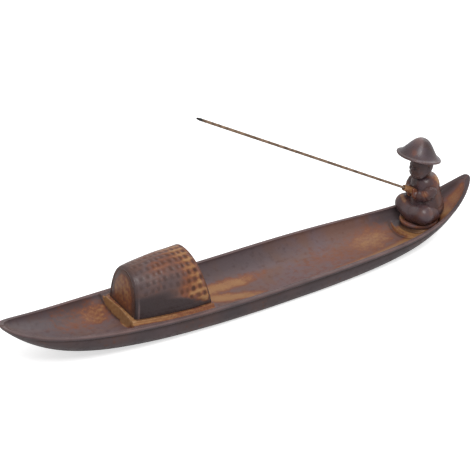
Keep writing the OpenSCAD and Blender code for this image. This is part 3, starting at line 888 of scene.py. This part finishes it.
def hat_surface(f, columns=160):
    """The hat: a bell of revolution, height(r) = a raised cosine of r to the power 1.2, whose brim ends in a
    rolled edge and whose underside lies nearly flat, with a slight hand-pinched wave. With the rings come
    their radii and their numbers."""
    radius, roll_radius = f.hat_diameter / 2, 0.9

    def cosine(r):
        """Height of the raised cosine."""
        return f.hat_height * (1 + np.cos(np.pi * (r / radius) ** 1.2)) / 2

    r = np.linspace(0.02, 1, HAT_CROWN_ROWS) * (radius - roll_radius)
    crown = cosine(r)
    roll = np.linspace(np.pi / 2, -np.pi / 2 - 0.35, 16)
    edge_r, edge_z = radius - roll_radius + 0.88 * np.cos(roll), -0.60 + 0.74 * np.sin(roll)
    crown += (edge_z[0] - crown[-1]) * smoothstep(0.72, 1, r / r[-1])
    under_r = r[::-1][2::2]
    under = 0.1 * cosine(under_r) - 1.3
    rr = np.concatenate([r, edge_r, under_r])[:, None]
    zz = np.concatenate([crown, edge_z, under])[:, None]
    a = circle(columns)
    wave = (rr / radius) ** 3 * (0.10 * np.sin(3 * a + 0.6) + 0.06 * np.sin(5 * a + 2))
    points = pitched(np.stack([rr * np.cos(a), rr * np.sin(a), zz + wave], -1), f.hat_tilt)
    return on_seat(points + HAT, f), rr, np.arange(len(rr))[:, None]


def lathe(along, radius, columns, rough=0.0, seed=1):
    """Rings about +Z at heights along with the given radii, each radius shaken by ripples of the given
    height."""
    a = circle(columns)
    along, radius = along[:, None] + 0 * a, radius[:, None] + 0 * a
    points = np.stack([radius * np.cos(a), radius * np.sin(a), along], -1)
    shake = 1 + rough * ripple(points, 2.5, seed) / np.maximum(radius, 0.1)
    return points * np.stack([shake, shake, np.ones_like(shake)], -1)


def on_rod(points, f):
    """Points on rings about +Z, turned along the rod with z = 0 at the mouth of the socket."""
    rod = rod_direction(f.stick_rise)
    side = np.array([0.0, 1.0, 0.0])
    return on_seat(points @ np.stack([np.cross(rod, side), side, rod]) + GRIP + rod * GRIP_LENGTH, f)


# ---------------------------------------------------------------- materials

def per(size):
    """Texture scale, in features a metre, of a pattern whose features are that many millimetres across."""
    return 1 / (size * MM)


def add_node(tree, kind, settings=None, inputs=None):
    """Adds a node, sets its own settings, and gives each named or numbered socket a value or a link."""
    made = tree.nodes.new(kind)
    for key, value in (settings or {}).items():
        setattr(made, key, value)
    for key, value in (inputs or {}).items():
        if isinstance(value, bpy.types.NodeSocket):
            tree.links.new(value, made.inputs[key])
        else:
            made.inputs[key].default_value = value
    return made


def emptied(owner):
    """The node tree of a material or a world, emptied."""
    owner.use_nodes = True
    owner.node_tree.nodes.clear()
    return owner.node_tree


def new_material(name):
    """An empty node material, its tree, its shader and its Object coordinates."""
    material = bpy.data.materials.new(name)
    tree = emptied(material)
    shader = add_node(tree, "ShaderNodeBsdfPrincipled")
    add_node(tree, "ShaderNodeOutputMaterial", None, {"Surface": shader.outputs["BSDF"]})
    coords = add_node(tree, "ShaderNodeTexCoord").outputs["Object"]
    return material, tree, shader, coords


def colour(code):
    """An sRGB hex code as a linear colour with alpha."""
    return (*srgb(code), 1.0)


# Sizes in millimetres of the iron specks and of the fired glaze's orange peel, coarser than they are, so that
# they show.
SPECK_SIZE = 0.8
PEEL_SIZE = 1.8


def glaze(name, g, brown=None, mauve=None, cloud_size=16.0, grain_size=3.2, roughness=0.38, shine=0.22):
    """Iron glaze over stoneware, dipped and fired to a satin: brown where it lies even, mauve where it pooled
    thick, and broken through rust to ochre where a point's 'ochre' trait is high; 'dark' darkens creases and
    also paints shade, 'pale' lightens edges and also paints highlights and sheen, and 'cool' greys it and in
    places also paints shade and sheen. The hex codes brown and mauve stand in for the settings' own."""
    material, tree, shader, coords = new_material(name)
    cloud, grain, speck, peel = (
        add_node(tree, "ShaderNodeTexNoise", None, {
            "Vector": coords, "Scale": per(size), "Detail": detail, "Roughness": rough,
            "Distortion": distortion}).outputs["Fac"]
        for size, detail, rough, distortion in (
            (cloud_size, 4.0, 0.6, 0.4), (grain_size, 5.0, 0.62, 0.0), (SPECK_SIZE, 3.0, 0.6, 0.0),
            (PEEL_SIZE, 3.0, 0.5, 0.0)))
    ochre, dark, pale, cool = (
        add_node(tree, "ShaderNodeAttribute", {"attribute_name": trait}).outputs["Fac"]
        for trait in GLAZE_TRAITS)
    # The ochre's edge is shaken by the grain and the specks.
    broken = ochre
    for noise, weight in ((grain, 0.50), (speck, 0.30)):
        broken = add_node(tree, "ShaderNodeMath", {"operation": "MULTIPLY_ADD"}, {
            0: noise, 1: weight, 2: broken}).outputs[0]

    # Layers over the brown, each a colour with what sets its share: clouds of mauve, slate that also paints
    # shade and sheen, small dark and pale freckles, the steps of rust, ochre and honey through which the
    # glaze breaks, pale edges that also paint highlights and sheen, and dark pools that also paint shade. A
    # share runs from 0 at start to most at full, or is most times its source if there is no start.
    body = colour(brown) if brown else (*g.brown, 1)
    for laid_on, source, start, full, most in (
            (colour(mauve) if mauve else (*g.mauve, 1), cloud, 0.36, 0.64, 1.0),
            (colour(SLATE_GLAZE_SHADE_AND_SHEEN), cool, None, None, 1.0),
            (colour(DARK_GLAZE_AND_SHADE), grain, 0.50, 0.78, 0.34),
            (colour(GLAZE_DUST), speck, 0.58, 0.76, 0.12),
            (colour(GLAZE_RUST), broken, 0.52, 0.96, 0.80),
            ((*g.ochre, 1), broken, 0.80, 1.28, 1.0),
            (colour(GLAZE_HONEY), broken, 1.22, 1.66, 0.55),
            (colour(PINK_LIP_AND_HIGHLIGHT), pale, None, None, 0.75),
            (colour(DARK_GLAZE_AND_SHADE), dark, None, None, 0.85)):
        if start is None:
            share = add_node(tree, "ShaderNodeMath", {"operation": "MULTIPLY"}, {0: source, 1: most})
        else:
            share = add_node(tree, "ShaderNodeMapRange", {"interpolation_type": "SMOOTHSTEP"}, {
                "Value": source, "From Min": start, "From Max": full, "To Max": most})
        body = add_node(tree, "ShaderNodeMix", {"data_type": "RGBA"}, {
            0: share.outputs[0], 6: body, 7: laid_on}).outputs[2]
    tree.links.new(body, shader.inputs["Base Color"])

    # A satin surface: the sheen breaks up with the grain, over a faint orange peel and pin pits.
    sheen = add_node(tree, "ShaderNodeMapRange", {"interpolation_type": "SMOOTHSTEP"}, {
        "Value": grain, "From Min": 0.35, "From Max": 0.7,
        "To Min": roughness - 0.06, "To Max": roughness + 0.12})
    tree.links.new(sheen.outputs["Result"], shader.inputs["Roughness"])
    shader.inputs["IOR"].default_value = 1.5
    shader.inputs["Specular IOR Level"].default_value = shine
    peeled = add_node(tree, "ShaderNodeBump", None, {"Height": peel, "Strength": 0.30, "Distance": 0.10 * MM})
    pitted = add_node(tree, "ShaderNodeBump", None, {
        "Height": speck, "Strength": 0.22, "Distance": 0.06 * MM, "Normal": peeled.outputs["Normal"]})
    tree.links.new(pitted.outputs["Normal"], shader.inputs["Normal"])
    return material


def incense_material():
    """Rolled incense: bark powder pressed into a thread with no core, matt and mottled along the stick,
    charred at its burnt tip."""
    material, tree, shader, coords = new_material("rolled incense")
    grain = add_node(tree, "ShaderNodeTexNoise", None, {"Vector": coords, "Scale": per(2.4), "Detail": 4.0})
    dust = add_node(tree, "ShaderNodeTexNoise", None, {"Vector": coords, "Scale": per(0.5), "Detail": 2.0})
    mottle = add_node(tree, "ShaderNodeMapRange", None, {
        "Value": grain.outputs["Fac"], "From Min": 0.38, "From Max": 0.62})
    char = add_node(tree, "ShaderNodeAttribute", {"attribute_name": "char"})
    body, ash = (
        add_node(tree, "ShaderNodeMix", {"data_type": "RGBA"}, {
            0: share, 6: colour(one), 7: colour(other)}).outputs[2]
        for share, one, other in ((mottle.outputs[0], INCENSE_TAN, INCENSE_DARK),
                                  (dust.outputs["Fac"], CHAR_BLACK, ASH_GREY)))
    burnt = add_node(tree, "ShaderNodeMix", {"data_type": "RGBA"}, {0: char.outputs["Fac"], 6: body, 7: ash})
    tree.links.new(burnt.outputs[2], shader.inputs["Base Color"])
    shader.inputs["Roughness"].default_value = 0.9
    shader.inputs["Specular IOR Level"].default_value = 0.25
    bump = add_node(tree, "ShaderNodeBump", None, {
        "Height": dust.outputs["Fac"], "Strength": 0.6, "Distance": 0.08 * MM})
    tree.links.new(bump.outputs["Normal"], shader.inputs["Normal"])
    return material


# ---------------------------------------------------------------- operators

class BURNER_OT_hull(bpy.types.Operator):
    """Make the boat's hull"""
    bl_idname = "burner.hull"
    bl_label = "Hull"

    def execute(self, context):
        scene = context.scene
        h, c, f = sizes(scene.burner_hull), sizes(scene.burner_canopy), sizes(scene.burner_figure)
        rings, region, above = hull_surface(h, c, f)
        points, faces = closed_tube(rings)
        region, above = on_points(region, rings), on_points(above, rings)
        # Hands leave the wall and the trough slightly uneven across.
        hand = 0.07 * ripple(points, 34, 5) * (region != RIM)
        points[:, 1] += hand * np.sign(points[:, 1]) * smoothstep(0, 3, np.abs(points[:, 1]))
        add_glazed("boat_hull_glazed", [(points, faces)], "boat_hull", "hull_glaze",
                   glaze("iron glaze on the hull", scene.burner_glaze),
                   *hull_traits(points, region, above, h, c, f))
        return {"FINISHED"}


def roof_traits(points, pit, outside, run, a, depth, row, thickness):
    """The mat's glaze. Ochre gathers toward the stern and over the upper rows, a slate field lies low on both
    flanks and is darkened there as painted shade, each pit holds a dark pool, a painted sheen greys the
    middle band and pales the strands above it, and a painted highlight pales the stern band; run goes from
    the bow end, at 0, to the stern, and the angle a from the far side, over the ridge, to the near side."""
    blotch, speck = blotches(points, 9, 61), blotches(points, 2.6, 63)
    aside = np.abs(a - np.pi / 2)
    patchy = run + 0.30 * (blotch - 0.5)
    # A slate field low on the flanks, also darkened there as painted shade.
    limit = mix(0.44, 0.84, smoothstep(1.08, 1.36, aside))
    low = smoothstep(0.74, 1.02, aside) * smoothstep(limit + 0.14, limit - 0.10, run + 0.10 * (blotch - 0.5))
    field = smoothstep(0.22, 1.0, patchy) * mix(1.0, 0.2, low)
    rows = 0.55 * smoothstep(0.08, 0.35, run) * smoothstep(0.75, 0.15, np.abs(aside - 0.42))
    # The middle band is a painted sheen: its ochre thinned and its colour greyed.
    middle = bell(aside, 0.66, 0.26) * smoothstep(0.90, 0.50, run)
    field = np.clip(highest(field, rows * mix(0.5, 1, blotch)) * (1 - 0.65 * middle), 0, 1)
    hollow = np.clip(1.35 * pit * outside, 0, 1)

    # Strands are ochre along their middles, and less so in the pits; a band of it follows the stern edge.
    strand = np.abs(row - np.floor(row) - 0.5) * 2
    ochre = outside * field * mix(0.50, 1.05, strand) * mix(0.75, 1.15, speck)
    ochre = mix(ochre, 0.46 * smoothstep(0.05, 0.5, field), hollow) + 0.14 * middle * speck
    band = smoothstep(0.925, 0.955, run) * smoothstep(0.6, 0.3, depth) * smoothstep(1.25, 0.9, aside)
    ochre = highest(ochre, band * 0.85 * mix(0.7, 1, blotch)) * (1 - 0.35 * band)
    ochre = highest(ochre, between(run, 0.82, 0.9, 0.95, 0.99) * bell(aside, 1.36, 0.10))
    inside = smoothstep(thickness - 0.3, thickness, depth)
    dark = highest(
        hollow * mix(0.44, 0.80, smoothstep(0.1, 0.7, field)) * mix(0.75, 1.15, speck),
        0.8 * smoothstep(0.2, 0.8, depth) * (1 - inside) * (run > 0.5),
        0.55 * inside,
        0.85 * smoothstep(0.80, 0.90, run) * smoothstep(1.41, 1.50, aside),
        0.75 * smoothstep(0.972, 0.985, run) * smoothstep(0.9, 0.0, depth),
        0.62 * low)
    # Slate low on the flanks, with painted shade, and at the bow end; the middle band greyed as painted
    # sheen.
    cool = np.clip(highest(0.95 * low + 0.35 * smoothstep(0.30, 0.0, run), 0.5 * middle), 0, 1)

    # The bow edge runs into the wall's brown, with a thin pale line on its near corner.
    mouth = smoothstep(0.060, 0.035, run)
    near = smoothstep(0.3, 0.9, a - np.pi / 2)
    front = mouth * smoothstep(0.4, 1.3, depth)
    ochre = highest(ochre * (1 - mouth), front * mix(mix(0.10, 0.50, speck), 0.3, near))
    dark = highest(dark * (1 - mouth), mix(0.30, 0.55, near) * mouth)
    line = between(run, 0.030, 0.040, 0.050, 0.062) * smoothstep(0.6, 0.1, depth)
    line *= smoothstep(0.7, 1.3, a - np.pi / 2)
    # Painted sheen above the middle band and a painted highlight on the stern band pale the strands.
    wear_and_sheen = highest(0.70 * bell(aside, 0.45, 0.22) * between(run, 0.10, 0.30, 0.60, 0.85), 0.85 * band)
    pale = highest(line, wear_and_sheen * outside * (0.4 + 0.6 * speck) * (1 - hollow))
    return ochre, dark * (1 - line), pale * 0.6, cool


class BURNER_OT_canopy(bpy.types.Operator):
    """Make the mat canopy and the wall that closes its bow end"""
    bl_idname = "burner.canopy"
    bl_label = "Canopy"

    def execute(self, context):
        c, g = sizes(context.scene.burner_canopy), context.scene.burner_glaze
        rings, *fields = canopy_roof_surface(c)
        part = closed_tube(rings)
        fields = [on_points(values, rings) for values in fields]
        add_glazed("canopy_mat_roof", [part], "canopy_roof", "mat_glaze",
                   glaze("iron glaze on the woven mat", g, **MAT_GLAZE),
                   *roof_traits(part[0], *fields, c.thickness))

        rings, share = canopy_wall_surface(c)
        part = closed_tube(rings)
        points = part[0]
        share = on_points(share, rings)
        ripples = ripple(points, 4.6, 71) + 0.6 * ripple(points, 1.6, 72) + 0.6 * ripple(points, 2.3, 73)
        mottle = 0.5 + 0.28 * ripples
        height = points[:, 2] - c.platform_height
        # Ochre mottles the wall, fading toward its edge and lower down; the wall darkens toward its edge, and
        # painted shade darkens its foot.
        ochre = smoothstep(1.02, 0.66, share) * mix(0.38, 0.92, mottle)
        ochre *= mix(0.70, 1.0, smoothstep(4, 12, height))
        dark = highest(0.40 * smoothstep(0.60, 1.0, share) * mix(0.5, 1.3, mottle),
                       0.5 * smoothstep(2.5, 0.3, height))
        add_glazed("canopy_bow_wall", [part], "canopy_front_wall", "ochre_glaze",
                   glaze("ochre glaze on the canopy's wall", g, **WALL_GLAZE), ochre, dark)
        return {"FINISHED"}


class BURNER_OT_seat(bpy.types.Operator):
    """Make the seat pad"""
    bl_idname = "burner.seat"
    bl_label = "Seat pad"

    def execute(self, context):
        f = sizes(context.scene.burner_figure)
        radius, thick, roll = f.pad_diameter / 2, f.pad_thickness, 1.1
        bend = np.linspace(0, np.pi / 2, 11)[1:]
        flat, foot = np.linspace(0.05, 1, 14), np.linspace(0.88, 0.05, 6)
        r = np.concatenate([flat * (radius - roll), radius - roll + roll * np.sin(bend),
                            [radius - 0.05, radius - 0.3, radius - 0.8], foot * radius])
        z = np.concatenate([0 * flat + thick, thick - roll + roll * np.cos(bend),
                            [0.7, 0.25, 0.02], 0 * foot + 0.02])
        part = closed_tube(lathe(z, r, 140) + np.array([f.pad_x, 0, f.plinth_height]))
        x, y, z = part[0].T
        height, away = z - f.plinth_height, np.hypot(x - f.pad_x, y)
        ochre = mix(0.45, 0.85, blotches(part[0], 4, 81)) * mix(0.55, 0.85, between(y, -4, 3, 8, 12))
        # Painted shade darkens the pad's foot and its top under the legs.
        dark = highest(0.7 * smoothstep(0.8, 0.1, height), 0.6 * smoothstep(radius - 1.8, radius - 3.4, away))
        add_glazed("seat_pad_glazed", [part], "seat_pad", "hull_glaze",
                   glaze("iron glaze on the seat", context.scene.burner_glaze, **SEAT_GLAZE),
                   ochre * smoothstep(0.2, 1.2, height), dark)
        return {"FINISHED"}


# The grip, from its foot in the lap, over its mouth at 0 and down its blind bore: its distances along the rod
# and its radii.
GRIP_LENGTH = 11
GRIP_ALONG = np.concatenate([np.linspace(-GRIP_LENGTH, -0.5, 30),
                             [-0.2, -0.04, 0.0, -0.04, -0.25, -1, -3, -5, -6.6, -7.0]])
GRIP_RADIUS = np.concatenate([[0.5, 1.2, 1.6], np.full(27, 1.78),
                              [1.72, 1.58, 1.38, 1.12, 0.98, 0.92, 0.9, 0.9, 0.9, 0.5]])

# The ochre that crosses the far knee, from its top to the shin.
KNEE_STREAK = np.array([[-9.3, 8.9, 11.8], [-10.2, 5.4, 10.4], [-8.9, 3.0, 6.6]])


class BURNER_OT_fisherman(bpy.types.Operator):
    """Make the fisherman's robe, legs, sleeves and hands"""
    bl_idname = "burner.fisherman"
    bl_label = "Fisherman"

    def execute(self, context):
        f = sizes(context.scene.burner_figure)
        seat = on_seat(np.zeros(3), f)
        cloth = glaze("iron glaze on the robe", context.scene.burner_glaze, **ROBE_GLAZE)

        rings, edges = torso_surface(f)
        part = closed_tube(rings)
        p = part[0] - seat
        x, z = p[:, 0], p[:, 2]
        blotch = blotches(part[0], 6, 91)
        back = smoothstep(-1, 4, x + 0.14 * z)
        shoulder = patch(p[:, [1, 2, 0]], (-5.0, 24.6), (2.6, 2.8), 0, 0.5, 93, 0.4) * smoothstep(-2, 1, x)
        ochre = highest(0.46 * back * mix(0.4, 1, blotch) * smoothstep(3, 8, z), 0.9 * shoulder)
        # Dark where the sash and the collar are drawn in, and painted shade over the back below the
        # shoulders.
        dark = highest(np.clip(-1.6 * on_points(edges, rings), 0, 0.8), 0.48 * back * smoothstep(26, 14, z))
        add_glazed("torso_robe", [part], "torso", "figure_glaze", cloth, ochre, dark)

        points, faces = star_surface(legs_distance, np.array([-2.0, 0, 4.0]), 30, 110, 200)
        z = points[:, 2]
        blotch = blotches(points, 6, 95)
        streak = np.minimum(*(capsule(points, a, b, 0.5, 0.5) for a, b in zip(KNEE_STREAK, KNEE_STREAK[1:])))
        ochre = highest(0.80 * smoothstep(1.5, 0.0, streak), 0.26 * blotch)
        # Painted shade darkens the folds between the limbs and the foot of the legs.
        dark = highest(0.55 * smoothstep(0.6, 1.0, legs_crease(points)) * smoothstep(4, 7, z),
                       0.85 * smoothstep(1.8, 0.3, z))
        # A painted highlight lightens the legs higher up, most of all the knees.
        add_glazed("legs_crossed", [(points + seat, faces)], "legs", "figure_glaze", cloth, ochre, dark,
                   0.30 * smoothstep(3, 8, z) * mix(0.4, 1, blotch))

        for side, piece_name, node_name in ((-1, "sleeve_left", "left_arm"),
                                            (1, "sleeve_right", "right_arm")):
            rings, share = sleeve_surface(side, f)
            part = closed_tube(rings)
            p = part[0] - seat
            z = p[:, 2]
            blotch = blotches(part[0], 4, 97)
            forearm = np.linalg.norm((p - np.array([-6.7, 8.0 * side, 19.5])) / [2.4, 3.0, 2.2], axis=1)
            ochre = highest(0.70 * smoothstep(1.5, 0.2, forearm) * mix(0.6, 1, blotch), 0.25 * blotch)
            # Painted shade darkens the cuff's mouth and the lower sleeve, and a painted highlight lightens
            # the upper sleeve.
            dark = highest(0.9 * smoothstep(1.005, 1.03, on_points(share, rings, (0, CUFF_SHARE))),
                           0.16 * smoothstep(24, 18, z))
            add_glazed(piece_name, [part], node_name, "figure_glaze", cloth, ochre, dark,
                       0.2 * smoothstep(16, 22, z) * blotch)

        grip = closed_tube(on_rod(lathe(GRIP_ALONG, GRIP_RADIUS, 40, 0.05, 99), f))
        parts = [grip]
        for side in (-1, 1):
            palm = HANDS * np.array([1, side, 1])
            points, faces = star_surface(lambda p: fist_distance(p, side), palm, 8, 70, 90)
            parts.append((points + seat, faces))
        points = all_points(parts)
        blotch = blotches(points, 4, 101)
        on_grip = np.arange(len(points)) < len(grip[0])
        off_axis = np.linalg.norm(np.cross(points - seat - GRIP, rod_direction(f.stick_rise)), axis=1)
        add_glazed("hands_and_grip", parts, "hands", "ochre_glaze", cloth,
                   np.where(on_grip, mix(0.55, 1.0, blotch), 0.30 + 0.35 * blotch),
                   0.9 * (on_grip & (off_axis < 1.3)))
        return {"FINISHED"}


class BURNER_OT_head(bpy.types.Operator):
    """Make the fisherman's head and hat"""
    bl_idname = "burner.head"
    bl_label = "Head and hat"

    def execute(self, context):
        f, g = sizes(context.scene.burner_figure), context.scene.burner_glaze
        seat = on_seat(np.zeros(3), f)
        points, faces = star_surface(head_distance, HEAD - np.array([0, 0, 1.0]), 14, 170, 260)
        x, y, z = (points - HEAD).T
        # Painted shade darkens the eye sockets, the line of the mouth and the top of the head under the hat.
        socket = bell(np.abs(y), 2.2, 1.3) * bell(z, -0.3, 0.8) * (x < -3)
        mouth = bell(z, -3.55, 0.22) * bell(y, 0, 1.4) * (x < -4)
        dark = np.clip(0.5 * socket + 0.7 * mouth + 0.5 * smoothstep(3.5, 5, z), 0, 1)
        add_glazed("head_with_beard", [(points + seat, faces)], "head", "figure_glaze",
                   glaze("iron glaze on the head", g, **HEAD_GLAZE),
                   0.22 * blotches(points - HEAD, 3, 111), dark)

        rings, radius, row = hat_surface(f)
        part = closed_tube(rings)
        radius, row = on_points(radius, rings), on_points(row, rings, (0, len(row)))
        p = part[0] - seat - HAT
        brim_radius, crown, rolled, upper = f.hat_diameter / 2, row < HAT_CROWN_ROWS, row > 84, row < 80
        brim = smoothstep(brim_radius - 1.5, brim_radius - 0.4, radius)
        rust = patch(p, (-7.5, -4.0), (2.2, 2.6), 0.6, 0.7, 113, 0.4) * crown
        # The crown's side toward the camera is painted pale as a highlight, and its sides turned away and the
        # brim's underside are painted dark as shade.
        turned = 0.85 * p[:, 0] - 0.53 * p[:, 1]
        side = 0.46 * smoothstep(-3, -9, turned)
        side += 0.60 * smoothstep(1.2, 4.0, turned) * smoothstep(11, 8, radius)
        dark = highest(0.6 * rolled * smoothstep(brim_radius - 0.6, brim_radius - 3, radius), side * upper)
        wear_and_sheen = smoothstep(7.5, 2.5, radius) * smoothstep(2.5, 0.5, turned) * crown
        add_glazed("hat_rolled_brim", [part], "hat", "figure_glaze",
                   glaze("iron glaze on the hat", g, **HAT_GLAZE),
                   highest(0.34 * rust, 0.16 * brim), dark, highest(0.30 * brim * upper, 0.95 * wear_and_sheen))
        return {"FINISHED"}


# Along the rod from the grip's mouth, in millimetres: the stick's foot, the burnt end's start and the tip.
STICK_FOOT, STICK_SHOULDER, STICK_TIP = -7, 154.6, 156.85
STICK_RADIUS = 0.77


class BURNER_OT_incense(bpy.types.Operator):
    """Make the stick of incense"""
    bl_idname = "burner.incense"
    bl_label = "Incense"

    def execute(self, context):
        f = sizes(context.scene.burner_figure)
        along = np.concatenate([[STICK_FOOT, STICK_FOOT + 0.05], np.linspace(-6.8, STICK_SHOULDER, 420),
                                np.linspace(154.9, STICK_TIP, 14)])
        radius = np.concatenate([[0.5, 0.74], np.full(420, STICK_RADIUS),
                                 STICK_RADIUS * np.linspace(1, 0.2, 14) ** 0.45])
        rings = lathe(along, radius, 18, 0.03, 121)
        part = closed_tube(on_rod(rings, f))
        height = on_points(rings[..., 2], rings, (STICK_FOOT, STICK_TIP))
        char = smoothstep(STICK_SHOULDER - 1.4, STICK_SHOULDER, height + 0.5 * ripple(part[0], 1.2, 123))
        add_piece("incense_stick_rolled", [part], STICK, ["incense_stick"], incense_material(),
                  {"char": char})
        return {"FINISHED"}


# The camera and the lamps: places and sizes in metres, the lens in millimetres.
CAMERA_PLACE, CAMERA_AIM = (-0.3608, -0.5535, 0.4066), (-0.0130, 0, 0.0389)
CAMERA_LENS, CAMERA_SENSOR = 107.55, 36.0
LAMP_AIM = (0, 0, 0.02)
# Name, place, size and power of each square lamp.
LAMPS = (("key", (-0.22, -0.62, 1.05), 0.55, 9.0), ("fill", (0.9, 0.35, 0.8), 0.9, 4.0))
FLOOR_HALF = 2.5
FLOOR_GLOW = 0.62
ROOM_LIGHT = 0.50


def aimed(name, data, place, aim):
    """A lamp or a camera at a place, looking at a point."""
    holder = bpy.data.objects.new(name, data)
    holder.location = place
    holder.rotation_euler = (Vector(aim) - holder.location).to_track_quat("-Z", "Y").to_euler()
    bpy.context.scene.collection.objects.link(holder)
    return holder


class BURNER_OT_stage(bpy.types.Operator):
    """Set the white floor, the soft lamps and the camera"""
    bl_idname = "burner.stage"
    bl_label = "Stage"

    def execute(self, context):
        scene = context.scene
        scene.view_settings.view_transform = "Standard"

        # Matt white paper. Its glow for the camera alone keeps it white and lets the shadow show.
        paper = bpy.data.materials.new("white paper")
        tree = emptied(paper)
        path = add_node(tree, "ShaderNodeLightPath").outputs
        diffuse = add_node(tree, "ShaderNodeBsdfDiffuse", None, {"Color": colour(PAPER_WHITE)})
        strength = add_node(tree, "ShaderNodeMath", {"operation": "MULTIPLY"}, {
            0: path["Is Camera Ray"], 1: FLOOR_GLOW})
        glow = add_node(tree, "ShaderNodeEmission", None, {
            "Color": colour(WHITE), "Strength": strength.outputs[0]})
        both = add_node(tree, "ShaderNodeAddShader", None, {0: diffuse.outputs[0], 1: glow.outputs[0]})
        add_node(tree, "ShaderNodeOutputMaterial", None, {"Surface": both.outputs[0]})
        mesh = bpy.data.meshes.new("floor")
        corners = [(x * FLOOR_HALF, y * FLOOR_HALF, 0) for x, y in ((-1, -1), (1, -1), (1, 1), (-1, 1))]
        mesh.from_pydata(corners, [], [(0, 1, 2, 3)])
        mesh.materials.append(paper)
        floor = bpy.data.objects.new("floor", mesh)
        scene.collection.objects.link(floor)

        # A dim room for the light, and a white one for what the camera, gloss and glass see of it.
        scene.world = bpy.data.worlds.new("soft room")
        tree = emptied(scene.world)
        path = add_node(tree, "ShaderNodeLightPath").outputs
        seen = path["Is Camera Ray"]
        for ray in ("Is Glossy Ray", "Is Transmission Ray"):
            seen = add_node(tree, "ShaderNodeMath", {"operation": "MAXIMUM"}, {
                0: seen, 1: path[ray]}).outputs[0]
        soft, white = (
            add_node(tree, "ShaderNodeBackground", None, {
                "Color": colour(WHITE), "Strength": strength}).outputs[0]
            for strength in (ROOM_LIGHT, 1.0))
        mixed = add_node(tree, "ShaderNodeMixShader", None, {0: seen, 1: soft, 2: white})
        add_node(tree, "ShaderNodeOutputWorld", None, {"Surface": mixed.outputs[0]})

        for name, place, size, power in LAMPS:
            lamp = bpy.data.lights.new(name, "AREA")
            lamp.shape, lamp.size, lamp.energy = "SQUARE", size, power
            aimed(name, lamp, place, LAMP_AIM)

        camera = bpy.data.cameras.new("camera")
        camera.lens, camera.sensor_width, camera.sensor_fit = CAMERA_LENS, CAMERA_SENSOR, "HORIZONTAL"
        camera.clip_start, camera.clip_end = 0.05, 20
        scene.camera = aimed("camera", camera, CAMERA_PLACE, CAMERA_AIM)
        return {"FINISHED"}


class BURNER_PT_panel(bpy.types.Panel):
    """The pieces of the incense burner and their sizes"""
    bl_idname = "BURNER_PT_panel"
    bl_label = "Boat Incense Burner"
    bl_space_type = "VIEW_3D"
    bl_region_type = "UI"
    bl_category = "Incense Burner"

    def draw(self, context):
        layout = self.layout
        for operator in OPERATORS:
            layout.operator(operator.bl_idname)
        for group in GROUPS:
            box = layout.box()
            box.label(text=group.capitalize())
            settings = getattr(context.scene, "burner_" + group)
            for key in GROUPS[group].__annotations__:
                box.prop(settings, key)


GROUPS = {"hull": HullSettings, "canopy": CanopySettings, "figure": FigureSettings, "glaze": GlazeSettings}
OPERATORS = [BURNER_OT_hull, BURNER_OT_canopy, BURNER_OT_seat, BURNER_OT_fisherman, BURNER_OT_head,
             BURNER_OT_incense, BURNER_OT_stage]


def register():
    for cls in [*GROUPS.values(), *OPERATORS, BURNER_PT_panel]:
        bpy.utils.register_class(cls)
    for group, cls in GROUPS.items():
        setattr(bpy.types.Scene, "burner_" + group, PointerProperty(type=cls))


def unregister():
    for group in GROUPS:
        delattr(bpy.types.Scene, "burner_" + group)
    for cls in reversed([*GROUPS.values(), *OPERATORS, BURNER_PT_panel]):
        bpy.utils.unregister_class(cls)


def main():
    register()
    bpy.ops.burner.hull()
    bpy.ops.burner.canopy()
    bpy.ops.burner.seat()
    bpy.ops.burner.fisherman()
    bpy.ops.burner.head()
    bpy.ops.burner.incense()
    bpy.ops.burner.stage()


if __name__ == "__main__":
    main()
